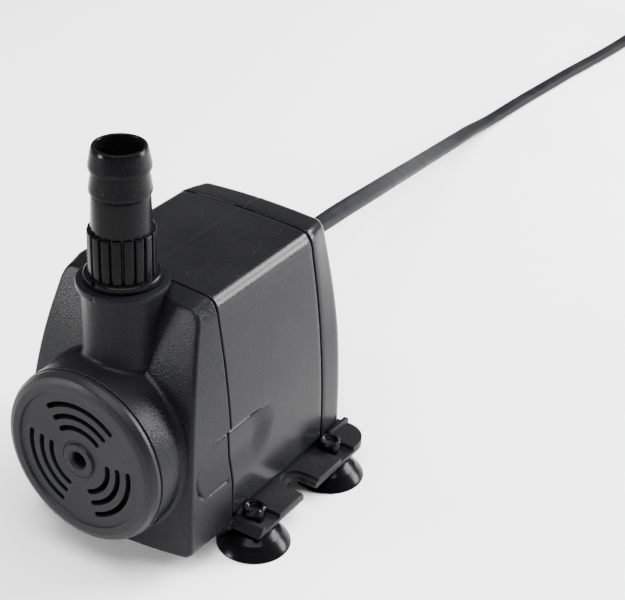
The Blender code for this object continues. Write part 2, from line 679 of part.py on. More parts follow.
def smooth_route(route, spacing):
    """Points every spacing millimetres along a smooth curve through the route."""
    points = [Vector(p) for p in route]
    ends = [points[0] * 2 - points[1]] + points + [points[-1] * 2 - points[-2]]
    fine = []
    for i in range(1, len(ends) - 2):
        p0, p1, p2, p3 = ends[i - 1], ends[i], ends[i + 1], ends[i + 2]
        for step in range(24):
            t = step / 24.0
            fine.append(0.5 * (2 * p1 + (p2 - p0) * t + (2 * p0 - 5 * p1 + 4 * p2 - p3) * t * t
                               + (3 * p1 - p0 - 3 * p2 + p3) * t ** 3))
    fine.append(points[-1])
    total = sum((b - a).length for a, b in zip(fine, fine[1:]))
    count = max(2, round(total / spacing))
    result = [fine[0]]
    walked = 0.0
    for a, b in zip(fine, fine[1:]):
        length = (b - a).length
        while len(result) < count and walked + length >= total * len(result) / count:
            t = (total * len(result) / count - walked) / length
            result.append(a.lerp(b, t))
        walked += length
    result.append(fine[-1])
    return result


def make_lead():
    """The lead's tube along its free route."""
    curve = bpy.data.curves.new("power_lead", "CURVE")
    curve.dimensions = "3D"
    curve.bevel_depth = LEAD_WIDTH / 2 * MM
    curve.bevel_resolution = 2
    curve.use_fill_caps = True
    route = smooth_route(LEAD_ROUTE, 14.0)
    spline = curve.splines.new("POLY")
    spline.points.add(len(route) - 1)
    for point, place in zip(spline.points, route):
        point.co = (*(place * MM), 1.0)
    spline.use_smooth = True
    lead = bpy.data.objects.new("power_lead", curve)
    bpy.context.scene.collection.objects.link(lead)
    curve.materials.append(material("power_lead_finish", *RUBBER))
    return lead


def make_coil():
    """The outer shape of the wound part of the lead, and the tie over it."""
    inner, outer, top = COIL_MID_R - COIL_HALF_WIDTH, COIL_MID_R + COIL_HALF_WIDTH, COIL_HEIGHT
    turned("lead_coil", [
        (inner, 2.0), (inner + 2.0, 0.0), (outer - 2.0, 0.0), (outer, 2.0), (outer, top - 2.0),
        (outer - 2.0, top), (inner + 2.0, top), (inner, top - 2.0),
    ], "Z", COIL_CENTRE, RUBBER, steps=40)
    y0, y1 = COIL_CENTRE[1] + inner - GAP - 0.3, COIL_CENTRE[1] + outer + GAP
    x0, x1 = COIL_CENTRE[0] - 2.0, COIL_CENTRE[0] + 2.0
    tie = box("lead_tie", (x0, y0 - 0.8, 0.4), (x1, y1 + 0.8, top + GAP + 0.8), BLACK)
    cut(tie, box("tie_inside", (x0 - 5.0, y0, -5.0), (x1 + 5.0, y1, top + GAP)))


def make_plug():
    """Flat two-pin plug with its sleeve, lying beside the coil, and its two round pins."""
    rear = PLUG_REAR_Y
    half = [(4.6, rear), (5.4, rear - 13.0), (8.5, rear - 15.0), (12.6, rear - 24.0), (13.2, rear - 34.0)]
    half += [(x, y) for x, y in arc(9.7, rear - 44.5, 3.5, 0, -90, 3)]
    outline = [(PLUG_X + x, y) for x, y in half] + [(PLUG_X - x, y) for x, y in reversed(half)]
    plug = prism("plug_body", outline, "XY", 0.0, PLUG_HEIGHT, RUBBER)
    front = rear - 48.0
    for name, side in (("plug_pin_left", -1.0), ("plug_pin_right", 1.0)):
        turned(name, [
            (0.0, front - 18.8), (1.4, front - 18.6), (2.0, front - 17.6), (2.0, front - GAP),
            (0.0, front - GAP),
        ], "Y", (PLUG_X + 9.3 * side, PLUG_HEIGHT / 2), STEEL, steps=16)
    return plug


def hang_on_joints():
    """Parents every piece to the empty on its joint's axis, with the part's origin under its middle."""
    pieces = list(bpy.data.objects)
    shift = Vector((0.0, -MIDDLE_Y, 0.0)) * MM
    places = {}
    for name, point in JOINT_POINTS.items():
        empty = bpy.data.objects.new(name, None)
        bpy.context.scene.collection.objects.link(empty)
        empty.location = Vector(point) * MM + shift
        places[name] = empty
    for piece in pieces:
        empty = places[CARRIED_BY.get(piece.name, HOUSING)]
        piece.parent = empty
        piece.location = shift - empty.location


for old in list(bpy.data.objects):
    bpy.data.objects.remove(old)

make_intake_disc()
make_pump_chamber()
make_front_shell()
make_motor_housing()
make_rear_cover()
make_screws()
make_rotor()
make_bushes()
make_rotor_can()
make_chamber_seal()
make_stator()
make_potting()
make_strain_relief()
make_base_plate()
make_cups()
make_hose_adapter()
make_adapter_seal()
make_lead()
make_coil()
make_plug()
hang_on_joints()
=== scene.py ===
"""Looks of the submersible fountain pump: its shells, disc, adapter, feet, lead and their materials.

Lengths in the shape functions are millimetres, with X to the right, Y from the intake disc's face to
the back and Z up from the plane that the cups stand on. spot() turns them into the frame's metres.
"""

import math

import bmesh
import bpy
from mathutils import Matrix, Vector, noise


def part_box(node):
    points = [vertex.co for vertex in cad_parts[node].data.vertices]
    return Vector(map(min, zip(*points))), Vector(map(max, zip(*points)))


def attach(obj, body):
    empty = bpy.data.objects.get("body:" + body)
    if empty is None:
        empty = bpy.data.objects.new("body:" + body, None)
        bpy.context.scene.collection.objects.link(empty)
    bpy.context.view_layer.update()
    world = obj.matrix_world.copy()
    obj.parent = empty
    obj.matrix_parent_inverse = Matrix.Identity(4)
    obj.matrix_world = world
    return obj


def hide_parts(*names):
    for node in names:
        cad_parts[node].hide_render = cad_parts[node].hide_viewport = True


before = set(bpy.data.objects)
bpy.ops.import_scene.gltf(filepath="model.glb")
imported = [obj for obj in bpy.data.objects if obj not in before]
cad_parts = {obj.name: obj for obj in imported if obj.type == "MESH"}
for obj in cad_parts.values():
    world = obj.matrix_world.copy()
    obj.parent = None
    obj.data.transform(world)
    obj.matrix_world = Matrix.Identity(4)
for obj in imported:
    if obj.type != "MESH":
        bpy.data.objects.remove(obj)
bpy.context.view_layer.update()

MM = 0.001


def sides(node):
    """A node's lowest and highest corners in millimetres, with Y measured from the disc's face."""
    low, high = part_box(node)
    return [v / MM - o for v, o in zip(low, ORIGIN)], [v / MM - o for v, o in zip(high, ORIGIN)]


def middle(low, high, axes):
    """The middle of a box along the named axes, such as "XZ"."""
    return tuple((low["XYZ".index(a)] + high["XYZ".index(a)]) / 2 for a in axes)


ORIGIN = (0.0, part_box("intake_disc")[0][1] / MM, 0.0)
# Clearance between parts that fit into each other.
GAP = 0.3

# Stations and sizes read from the frame.
DISC_LOW, DISC_HIGH = sides("intake_disc")
AXIS_Z = (DISC_LOW[2] + DISC_HIGH[2]) / 2
DISC_R = (DISC_HIGH[0] - DISC_LOW[0]) / 2
SHELL_LOW, SHELL_HIGH = sides("front_shell")
HOUSING_LOW, HOUSING_HIGH = sides("motor_housing")
COVER_LOW, COVER_HIGH = sides("rear_cover")
CHAMBER_LOW, CHAMBER_HIGH = sides("pump_chamber")
ADAPTER_LOW, ADAPTER_HIGH = sides("hose_adapter")
PLATE_LOW, PLATE_HIGH = sides("base_plate")
SEAM_FRONT_Y = SHELL_HIGH[1]
SEAM_REAR_Y = HOUSING_HIGH[1]
COVER_BACK_Y = COVER_HIGH[1]
HALF_WIDTH = HOUSING_HIGH[0]
CROWN_Z = HOUSING_HIGH[2]
CHIN_Z = SHELL_LOW[2]
BODY_BOTTOM_Z = HOUSING_LOW[2]
BARREL_R = (CHAMBER_HIGH[0] - CHAMBER_LOW[0]) / 2
OUTLET_Y = (ADAPTER_LOW[1] + ADAPTER_HIGH[1]) / 2
FLANGE_Z = CHAMBER_HIGH[2]
ADAPTER_TOP_Z = ADAPTER_HIGH[2]
COLLAR_R = (ADAPTER_HIGH[0] - ADAPTER_LOW[0]) / 2
RELIEF_LOW, RELIEF_HIGH = sides("strain_relief")
LEAD_EXIT_Z = (RELIEF_LOW[2] + RELIEF_HIGH[2]) / 2
GLAND_END_Y = RELIEF_HIGH[1]
COIL_LOW, COIL_HIGH = sides("lead_coil")
COIL_CENTRE = middle(COIL_LOW, COIL_HIGH, "XY")
PLUG_LOW, PLUG_HIGH = sides("plug_body")

# Sizes of shapes that a box doesn't give.
WALL = 2.2
LIP_R = 0.35
CORNER_R = 3.0
FOOT_Z = 15.0
SIDE_TAPER = 6.2
SHOULDER_Z = 86.5
SHOULDER_TOP = (24.5, 94.7)
SHELL_FRONT_Y = 13.6
FACE_LEAN = 15.6
FACE_BOW = 4.0
FACE_HALF_WIDTH = 33.0
TUBE_R = 13.5
BORE_R = 9.9
FLANGE_R = 15.05
ADAPTER_BORE_R = 7.5
GRIP_R = 10.9
GRIP_LOW_Z = ADAPTER_TOP_Z - 43.1
GRIP_TOP_Z = ADAPTER_TOP_Z - 28.1
GRIP_RIBS = 18
LEAD_WIDTH = 7.0
LEAD_THICKNESS = 4.2
SIDES = ((-1.0, "left"), (1.0, "right"))


def spot(x, y, z):
    """A point in millimetres, with Y from the disc's face, as the frame's metres."""
    return Vector((x + ORIGIN[0], y + ORIGIN[1], z + ORIGIN[2])) * MM


# ---------------------------------------------------------------- camera, floor and light

# The camera's azimuth, elevation and roll in degrees, and its place and focal length in millimetres.
CAMERA_TURN = (33.117, 29.360, 1.663)
CAMERA_PLACE = (284.12, -318.41, 353.90)
CAMERA_LENS = 93.83
CAMERA_SHIFT = (0.0463, -0.0581)
# Each soft box as its name, its place and size in metres and its power in watts.
SOFT_BOXES = (
    ("overhead_box", (0.15, -0.25, 1.5), (1.3, 1.3), 60.0),
    ("rear_right_box", (0.62, 0.95, 0.72), (0.8, 0.4), 56.0),
    ("low_right_box", (0.86, 0.95, 0.3), (0.42, 0.3), 24.0),
    ("front_box", (-0.86, -1.12, 0.34), (0.34, 0.22), 23.0),
)
LIT_POINT = (0.0, 0.0, 0.04)


def make_camera():
    """A long lens from the front right, above the object, turned a little about its own axis."""
    azimuth, elevation, roll = (math.radians(angle) for angle in CAMERA_TURN)
    back = Vector((math.sin(azimuth) * math.cos(elevation), -math.cos(azimuth) * math.cos(elevation),
                   math.sin(elevation)))
    level = (-back).cross(Vector((0.0, 0.0, 1.0))).normalized()
    rise = level.cross(-back)
    right = level * math.cos(roll) + rise * math.sin(roll)
    up = rise * math.cos(roll) - level * math.sin(roll)
    camera_data = bpy.data.cameras.new("camera")
    camera_data.sensor_width = 36.0
    camera_data.lens = CAMERA_LENS
    camera_data.shift_x, camera_data.shift_y = CAMERA_SHIFT
    camera_data.clip_start = 0.01
    camera = bpy.data.objects.new("camera", camera_data)
    bpy.context.scene.collection.objects.link(camera)
    place = Matrix((right, up, back)).transposed().to_4x4()
    place.translation = spot(*CAMERA_PLACE)
    camera.matrix_world = place
    bpy.context.scene.camera = camera


def make_area_light(name, place, size, power):
    """A soft box turned towards the object."""
    light = bpy.data.lights.new(name, "AREA")
    light.shape = "RECTANGLE"
    light.size, light.size_y = size
    light.energy = power
    obj = bpy.data.objects.new(name, light)
    bpy.context.scene.collection.objects.link(obj)
    obj.location = place
    obj.rotation_euler = (Vector(LIT_POINT) - obj.location).to_track_quat("-Z", "Y").to_euler()


def make_studio():
    """A pale floor, a dim even surround and four soft boxes: overhead, two rear right and front left."""
    world = bpy.data.worlds.new("studio")
    bpy.context.scene.world = world
    world.use_nodes = True
    surround = world.node_tree.nodes["Background"]
    surround.inputs["Color"].default_value = (1.0, 1.0, 1.0, 1.0)
    surround.inputs["Strength"].default_value = 0.32
    for soft_box in SOFT_BOXES:
        make_area_light(*soft_box)
    bpy.ops.mesh.primitive_plane_add(size=8.0, location=(0.0, 0.0, 0.0))
    floor = bpy.context.object
    floor.name = "floor"
    paper = bpy.data.materials.new("pale_floor")
    paper.use_nodes = True
    shader = paper.node_tree.nodes["Principled BSDF"]
    shader.inputs["Base Color"].default_value = (0.93, 0.93, 0.93, 1.0)
    shader.inputs["Roughness"].default_value = 0.9
    shader.inputs["Specular IOR Level"].default_value = 0.1
    floor.data.materials.append(paper)


# ---------------------------------------------------------------- materials

def new_material(name):
    mat = bpy.data.materials.new(name)
    mat.use_nodes = True
    tree = mat.node_tree
    return mat, tree, tree.nodes["Principled BSDF"]


def node(tree, kind, **inputs):
    """A new node with its inputs set by name, with _ for a space."""
    made = tree.nodes.new(kind)
    for key, value in inputs.items():
        made.inputs[key.replace("_", " ")].default_value = value
    return made


def noise_texture(tree, scale, detail=2.0, roughness=0.5):
    place = node(tree, "ShaderNodeTexCoord")
    texture = node(tree, "ShaderNodeTexNoise", Scale=scale, Detail=detail, Roughness=roughness)
    tree.links.new(place.outputs["Object"], texture.inputs["Vector"])
    return texture


def remapped(tree, source, low, high, start=0.35, stop=0.65):
    """A value from start to stop spread over low to high."""
    spread = node(tree, "ShaderNodeMapRange")
    for key, value in (("From Min", start), ("From Max", stop), ("To Min", low), ("To Max", high)):
        spread.inputs[key].default_value = value
    tree.links.new(source, spread.inputs["Value"])
    return spread.outputs["Result"]


def mixed(tree, factor, first, second):
    """A colour that goes from the first, a colour or a socket, to the second as the factor rises."""
    mix = node(tree, "ShaderNodeMix")
    mix.data_type = "RGBA"
    tree.links.new(factor, mix.inputs["Factor"])
    if isinstance(first, tuple):
        mix.inputs[6].default_value = (*first, 1.0)
    else:
        tree.links.new(first, mix.inputs[6])
    mix.inputs[7].default_value = (*second, 1.0)
    return mix.outputs[2]


def scaled(colour, share):
    return tuple(c * share for c in colour)


def bumped(tree, shader, layers):
    """Chains bump nodes: each layer is (height socket, strength, distance in metres)."""
    normal = None
    for height, strength, distance in layers:
        bump = node(tree, "ShaderNodeBump", Strength=strength, Distance=distance)
        tree.links.new(height, bump.inputs["Height"])
        if normal:
            tree.links.new(normal, bump.inputs["Normal"])
        normal = bump.outputs["Normal"]
    tree.links.new(normal, shader.inputs["Normal"])


DUST = (0.09, 0.09, 0.095)
GRAIN_DEPTH = 0.00018


def moulded_plastic(name, colour, roughness, grain, grain_scale, spread=0.05, specular=0.5, wave=0.0):
    """Moulded black plastic: spark-eroded grain, uneven gloss, faint sink marks and a trace of dust."""
    mat, tree, shader = new_material(name)
    cloud = noise_texture(tree, 55.0, 3.0)
    fine = noise_texture(tree, grain_scale, 2.0, 0.6)
    specks = noise_texture(tree, 2300.0, 0.0)
    shade = mixed(tree, remapped(tree, cloud.outputs["Fac"], 0.0, 1.0),
                  scaled(colour, 0.86), scaled(colour, 1.16))
    dusty = mixed(tree, remapped(tree, specks.outputs["Fac"], 0.0, 0.25, 0.77, 0.83), shade, DUST)
    tree.links.new(dusty, shader.inputs["Base Color"])
    tree.links.new(remapped(tree, cloud.outputs["Fac"], roughness - spread, roughness + spread),
                   shader.inputs["Roughness"])
    shader.inputs["Specular IOR Level"].default_value = specular
    layers = []
    if wave:
        layers.append((noise_texture(tree, 38.0, 1.0).outputs["Fac"], 0.25, wave))
    layers.append((fine.outputs["Fac"], grain, GRAIN_DEPTH))
    bumped(tree, shader, layers)
    return mat


def rubber(name, colour, roughness, grain=0.05, scale=1400.0, specular=0.1):
    """Moulded rubber: deep black, softly glossy, with a faint bloom."""
    mat, tree, shader = new_material(name)
    cloud = noise_texture(tree, 90.0, 3.0)
    tint = mixed(tree, remapped(tree, cloud.outputs["Fac"], 0.0, 1.0), colour, scaled(colour, 1.8))
    tree.links.new(tint, shader.inputs["Base Color"])
    tree.links.new(remapped(tree, cloud.outputs["Fac"], roughness - 0.05, roughness + 0.06),
                   shader.inputs["Roughness"])
    shader.inputs["Specular IOR Level"].default_value = specular
    bumped(tree, shader, [(noise_texture(tree, scale, 2.0).outputs["Fac"], grain, 0.0001)])
    return mat


def metal(name, colour, roughness, streaks=(600.0, 30.0, 600.0)):
    """Bare metal with fine drawn streaks."""
    mat, tree, shader = new_material(name)
    shader.inputs["Metallic"].default_value = 1.0
    place = node(tree, "ShaderNodeTexCoord")
    stretch = node(tree, "ShaderNodeMapping", Scale=streaks)
    texture = node(tree, "ShaderNodeTexNoise", Scale=1.0, Detail=3.0)
    tree.links.new(place.outputs["Object"], stretch.inputs["Vector"])
    tree.links.new(stretch.outputs["Vector"], texture.inputs["Vector"])
    tint = mixed(tree, remapped(tree, texture.outputs["Fac"], 0.0, 1.0), scaled(colour, 0.8), colour)
    tree.links.new(tint, shader.inputs["Base Color"])
    tree.links.new(remapped(tree, texture.outputs["Fac"], roughness - 0.08, roughness + 0.08),
                   shader.inputs["Roughness"])
    bumped(tree, shader, [(texture.outputs["Fac"], 0.1, 0.00005)])
    return mat


def banded_metal(name, colour, roughness, axis, pitch, depth):
    """Metal in fine bands across one axis: core laminations or the turns of a winding."""
    mat, tree, shader = new_material(name)
    shader.inputs["Metallic"].default_value = 0.9
    place = node(tree, "ShaderNodeTexCoord")
    bands = node(tree, "ShaderNodeTexWave", Scale=math.pi / 10.0 / pitch, Distortion=0.6, Detail=1.0)
    bands.bands_direction = axis
    tree.links.new(place.outputs["Object"], bands.inputs["Vector"])
    tint = mixed(tree, bands.outputs["Fac"], scaled(colour, 0.45), colour)
    tree.links.new(tint, shader.inputs["Base Color"])
    shader.inputs["Roughness"].default_value = roughness
    bumped(tree, shader, [(bands.outputs["Fac"], 0.6, depth)])
    return mat


MATERIALS = {
    "shell": moulded_plastic("shell_grained_black", (0.005, 0.005, 0.006), 0.3, 0.65, 2000.0,
                             specular=0.09),
    "housing": moulded_plastic("housing_satin_black", (0.006, 0.006, 0.007), 0.21, 0.25, 1300.0,
                               0.03, 0.09, 0.0002),
    "disc": moulded_plastic("disc_matt_black", (0.008, 0.008, 0.009), 0.4, 0.5, 1500.0, specular=0.11),
    "tube": moulded_plastic("tube_grained_black", (0.005, 0.005, 0.006), 0.34, 0.6, 1300.0,
                            specular=0.06),
    "adapter": moulded_plastic("adapter_satin_black", (0.003, 0.003, 0.0035), 0.2, 0.15, 1100.0,
                               specular=0.05),
    "plate": moulded_plastic("plate_matt_black", (0.006, 0.006, 0.007), 0.42, 1.0, 1250.0,
                             specular=0.07),
    "cup": rubber("cup_rubber_black", (0.0015, 0.0015, 0.002), 0.22, specular=0.06),
    "seal": rubber("seal_rubber_black", (0.01, 0.01, 0.011), 0.5),
    "lead": rubber("lead_jacket_black", (0.006, 0.006, 0.007), 0.5, 0.2, 900.0, 0.045),
    "plug": rubber("plug_black", (0.012, 0.012, 0.013), 0.42, 0.35, 1500.0),
    "steel": metal("screw_steel", (0.5, 0.5, 0.51), 0.34),
    "pin": metal("pin_nickel", (0.75, 0.72, 0.66), 0.24, (80.0, 700.0, 80.0)),
    "core": banded_metal("core_laminations", (0.42, 0.43, 0.45), 0.42, "Y", 0.0011, 0.0001),
    "copper": banded_metal("copper_turns", (0.62, 0.24, 0.09), 0.32, "Z", 0.0009, 0.0003),
    "ceramic": moulded_plastic("shaft_ceramic", (0.8, 0.8, 0.76), 0.18, 0.03, 900.0, 0.03),
    "impeller": moulded_plastic("impeller_offwhite", (0.6, 0.6, 0.57), 0.4, 0.2, 900.0),
    "ferrite": moulded_plastic("magnet_ferrite", (0.06, 0.056, 0.052), 0.48, 0.6, 800.0),
    "resin": moulded_plastic("potting_resin", (0.022, 0.025, 0.04), 0.2, 0.05, 200.0, 0.05,
                             wave=0.0004),
}


# ---------------------------------------------------------------- mesh helpers

def make(name, verts, faces, finish, body, node_names, smooth_angle=32.0):
    """A piece from points in millimetres, with its material, body and the CAD nodes it stands for."""
    mesh = bpy.data.meshes.new(name)
    mesh.from_pydata([spot(*v) for v in verts], [], faces)
    bm = bmesh.new()
    bm.from_mesh(mesh)
    bmesh.ops.recalc_face_normals(bm, faces=bm.faces)
    bm.to_mesh(mesh)
    bm.free()
    mesh.shade_smooth()
    mesh.set_sharp_from_angle(angle=math.radians(smooth_angle))
    obj = bpy.data.objects.new(name, mesh)
    bpy.context.scene.collection.objects.link(obj)
    if finish:
        mesh.materials.append(MATERIALS[finish])
        stand_in(obj, body, node_names)
    return obj


def stand_in(obj, body, node_names):
    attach(obj, body)
    for name in node_names:
        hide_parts(name)


def arc(cx, cy, radius, start, end, count):
    """Points on an arc, with its angles in degrees."""
    points = []
    for i in range(count + 1):
        angle = math.radians(start + (end - start) * i / count)
        points.append((cx + radius * math.cos(angle), cy + radius * math.sin(angle)))
    return points


def softened(points, radius, count=4):
    """A closed profile with its corners rounded, by one radius or by a list with one for each."""
    rounded = []
    n = len(points)
    for i, point in enumerate(points):
        r = radius[i] if isinstance(radius, (list, tuple)) else radius
        here = Vector(point)
        before = Vector(points[i - 1])
        after = Vector(points[(i + 1) % n])
        into, out = (before - here), (after - here)
        if r <= 0.0 or into.length < 1e-6 or out.length < 1e-6 or here.x < 1e-6:
            rounded.append(tuple(here))
            continue
        angle = into.angle(out)
        if angle > math.radians(172.0):
            rounded.append(tuple(here))
            continue
        reach = min(r / math.tan(angle / 2.0), into.length * 0.48, out.length * 0.48)
        start = here + into.normalized() * reach
        end = here + out.normalized() * reach
        for k in range(count + 1):
            t = k / count
            rounded.append(tuple(start * (1 - t) ** 2 + here * (2 * t * (1 - t)) + end * t * t))
    return rounded


def ring_faces(rings, size, loop=False):
    """Faces between rings of size points that follow each other, back to the first for a loop."""
    faces = []
    for ring in range(rings if loop else rings - 1):
        a, b = ring * size, (ring + 1) % rings * size
        for i in range(size):
            j = (i + 1) % size
            faces.append((a + i, a + j, b + j, b + i))
    return faces


def column_faces(steps, rows):
    """Faces between columns of rows points that stand in a circle."""
    faces = []
    for i in range(steps):
        a, b = i * rows, (i + 1) % steps * rows
        for k in range(rows - 1):
            faces.append((a + k, b + k, b + k + 1, a + k + 1))
    return faces


def turned_mesh(profile, axis, centre, steps):
    """Vertices and faces of a closed profile of (radius, height), turned about an axis along Y or Z."""
    verts, faces, rings = [], [], []
    for radius, height in profile:
        ring = []
        for i in range(1 if radius < 1e-6 else steps):
            angle = 2.0 * math.pi * i / steps
            a, b = radius * math.cos(angle), radius * math.sin(angle)
            ring.append(len(verts))
            verts.append((centre[0] + a, height, centre[1] + b) if axis == "Y"
                         else (centre[0] + a, centre[1] + b, height))
        rings.append(ring)
    for k, ring in enumerate(rings):
        after = rings[(k + 1) % len(rings)]
        if len(ring) == 1 and len(after) == 1:
            continue
        for i in range(steps):
            j = (i + 1) % steps
            if len(ring) == 1:
                faces.append((ring[0], after[j], after[i]))
            elif len(after) == 1:
                faces.append((ring[i], ring[j], after[0]))
            else:
                faces.append((ring[i], ring[j], after[j], after[i]))
    return verts, faces


def turned(name, profile, axis, centre, finish=None, body=None, nodes=(), steps=96, soft=0.0,
           smooth_angle=32.0):
    """A piece turned about an axis, with its profile's corners softened."""
    verts, faces = turned_mesh(softened(profile, soft) if soft else profile, axis, centre, steps)
    return make(name, verts, faces, finish, body, nodes, smooth_angle)


def rod(name, radius, low, high, axis, centre, steps=96):
    """A plain cylinder to cut with."""
    return turned(name, [(0.0, low), (radius, low), (radius, high), (0.0, high)], axis, centre, steps=steps)


def prism(name, outline, plane, low, high, finish=None, body=None, nodes=(), slot=None):
    """An outline in a plane ("XY" or "XZ") carried from low to high."""
    verts = []
    for level in (low, high):
        for a, b in outline:
            verts.append((a, b, level) if plane == "XY" else (a, level, b))
    n = len(outline)
    faces = [tuple(range(n)), tuple(range(2 * n - 1, n - 1, -1))] + ring_faces(2, n)
    return make(name, verts, faces, finish, body, nodes)


def box(name, low, high):
    outline = [(low[0], low[1]), (high[0], low[1]), (high[0], high[1]), (low[0], high[1])]
    return prism(name, outline, "XY", low[2], high[2])


def apply_modifiers(obj):
    depsgraph = bpy.context.evaluated_depsgraph_get()
    mesh = bpy.data.meshes.new_from_object(obj.evaluated_get(depsgraph))
    obj.modifiers.clear()
    obj.data = mesh


def cut(obj, cutters, smooth_angle=None):
    """Cuts the cutters out of obj and deletes them, and marks the edges above an angle in degrees."""
    for cutter in cutters:
        modifier = obj.modifiers.new("Cut", "BOOLEAN")
        modifier.operation = "DIFFERENCE"
        modifier.solver = "EXACT"
        modifier.object = cutter
    apply_modifiers(obj)
    for cutter in cutters:
        bpy.data.objects.remove(cutter)
    if smooth_angle:
        obj.data.set_sharp_from_angle(angle=math.radians(smooth_angle))


def round_edges(obj, width, segments=2, angle=32.0):
    """Rounds the sharp edges by a width in millimetres."""
    bevel = obj.modifiers.new("Edges", "BEVEL")
    bevel.width = width * MM
    bevel.segments = segments
    bevel.limit_method = "ANGLE"
    bevel.angle_limit = math.radians(angle)
    bevel.use_clamp_overlap = True
    apply_modifiers(obj)
    obj.data.shade_smooth()
    obj.data.set_sharp_from_angle(angle=math.radians(50.0))


def smoothstep(a, b, x):
    t = min(1.0, max(0.0, (x - a) / (b - a)))
    return t * t * (3.0 - 2.0 * t)


# ---------------------------------------------------------------- body shells

def side_x(z, bottom):
    """Half width of the body at a height on its straight side."""
    foot = max(FOOT_Z, bottom + CORNER_R)
    t = min(1.0, max(0.0, (z - foot) / (SHOULDER_Z - FOOT_Z)))
    return HALF_WIDTH - SIDE_TAPER * t ** 2.2


def half_section(bottom):
    """Right half of the body's section as (x, z), from the bottom edge to the crown's apex."""
    points = arc(HALF_WIDTH - CORNER_R, bottom + CORNER_R, CORNER_R, -90, 0, 8)
    foot = max(FOOT_Z, bottom + CORNER_R)
    z = points[-1][1] + 1.0
    top = foot + SHOULDER_Z - FOOT_Z
    while z < top - 0.3:
        points.append((side_x(z, bottom), z))
        # The points stand closer together where the scoop is.
        z += 0.45 if 25.0 < z < 49.0 else 1.5
    start = (side_x(top, bottom), top)
    control = (start[0] - 0.7, SHOULDER_TOP[1] - 0.7)
    for i in range(17):
        t = i / 16.0
        points.append(tuple((1 - t) ** 2 * a + 2 * t * (1 - t) * b + t * t * c
                            for a, b, c in zip(start, control, SHOULDER_TOP)))
    for i in range(1, 14):
        t = 1.0 - i / 14.0
        points.append((SHOULDER_TOP[0] * t, CROWN_Z - (CROWN_Z - SHOULDER_TOP[1]) * t * t))
    # The mould's parting line stands a hair proud along the middle.
    points += [(0.2, CROWN_Z), (0.0, CROWN_Z + 0.09)]
    return points


def inset_half(points, inset):
    """The half outline moved inwards by inset, square to itself."""
    moved = []
    last = len(points) - 1
    for i, (x, z) in enumerate(points):
        before = points[i - 1] if i > 0 else (0.0, z)
        after = points[i + 1] if i < last else (-points[i - 1][0], points[i - 1][1])
        along = Vector((after[0] - before[0], after[1] - before[1])).normalized()
        moved.append((x - along.y * inset, z + along.x * inset))
    moved[last] = (0.0, moved[last][1])
    return moved


def tucked(points, amount):
    """The half outline with its upper corner drawn in, by up to amount at the shoulder."""
    moved = []
    for x, z in points:
        lift = min(1.0, max(0.0, (z - 50.0) / 40.0))
        moved.append((x * (1.0 - amount / HALF_WIDTH * lift ** 1.5), z - 0.3 * amount * lift))
    return moved


def front_half(inset):
    """Half outline of the leaning front face, a little smaller than the body's section."""
    shaped = []
    for x, z in half_section(CHIN_Z):
        shaped.append((x * 0.98, z - 1.4 * max(0.0, (z - CHIN_Z) / (CROWN_Z - CHIN_Z))))
    return inset_half(shaped, inset)


def front_face_y(x, z):
    """Y of the leaning, slightly bowed front face."""
    t = min(1.0, max(0.0, (z - CHIN_Z) / (CROWN_Z - 2.0 - CHIN_Z)))
    bow = FACE_BOW * (1.0 - t) * (1.0 - (x / FACE_HALF_WIDTH) ** 2)
    return SHELL_FRONT_Y + FACE_LEAN * t ** 2.3 - bow


def ridge(distance, width):
    """1 on a line, falling softly to 0 beside it."""
    return math.exp(-(distance / width) ** 2)


SCOOP_FRONT_Y = 18.6
SCOOP_TOP_Z = 46.4
SCOOP_LOW_Z = 28.7
SCOOP_DEPTH = 1.3
SCOOP_LINE_DEPTH = 1.2
# The deepest cut leaves a skin of the wall standing.
SCOOP_LIMIT = 1.95


def scoop_depth(y, z):
    """Depth of the finger scoop in the side wall, with the cut line round its front, top and foot."""
    # The leading edge is an arc from the top line round to the lower front.
    lead = SCOOP_FRONT_Y + 0.055 * (z - 35.5) ** 2 + 0.0035 * max(0.0, z - 38.0) ** 3
    top_line = SCOOP_TOP_Z - 0.25 * smoothstep(30.0, 20.0, y)
    front = smoothstep(lead - 0.3, lead + 0.4, y)
    top = 1.0 - smoothstep(top_line - 0.35, top_line + 0.35, z)
    bottom = smoothstep(25.5, 38.0, z)
    rear = 1.0 - smoothstep(50.0, 61.5, y + 0.35 * abs(z - 40.0))
    hollow = SCOOP_DEPTH * front * top * bottom * rear
    line = ridge(z - top_line, 0.6) * front * (1.0 - smoothstep(46.0, 55.0, y))
    line = max(line, ridge(y - lead, 0.6) * top * smoothstep(28.6, 30.5, z))
    foot_span = smoothstep(22.8, 25.5, y) * (1.0 - smoothstep(33.5, 35.6, y))
    line = max(line, 0.5 * ridge(z - SCOOP_LOW_Z, 0.45) * foot_span)
    return min(SCOOP_LIMIT, hollow + SCOOP_LINE_DEPTH * line)


def scooped(x, y, z):
    if abs(x) < 20.0 or z > 50.0 or z < 22.0:
        return x
    return x - math.copysign(scoop_depth(y, z), x)


def full_ring(half, place, across, scoop):
    """A closed ring of points through the right half, its mirror image and the bottom."""
    outline = list(half) + [(-x, z) for x, z in reversed(half[:-1])]
    x_end, z_end = half[0]
    for i in range(1, across):
        outline.append((-x_end + 2.0 * x_end * i / across, z_end))
    ring = []
    for x, z in outline:
        y = place(x, z)
        ring.append((scooped(x, y, z) if scoop else x, y, z))
    return ring


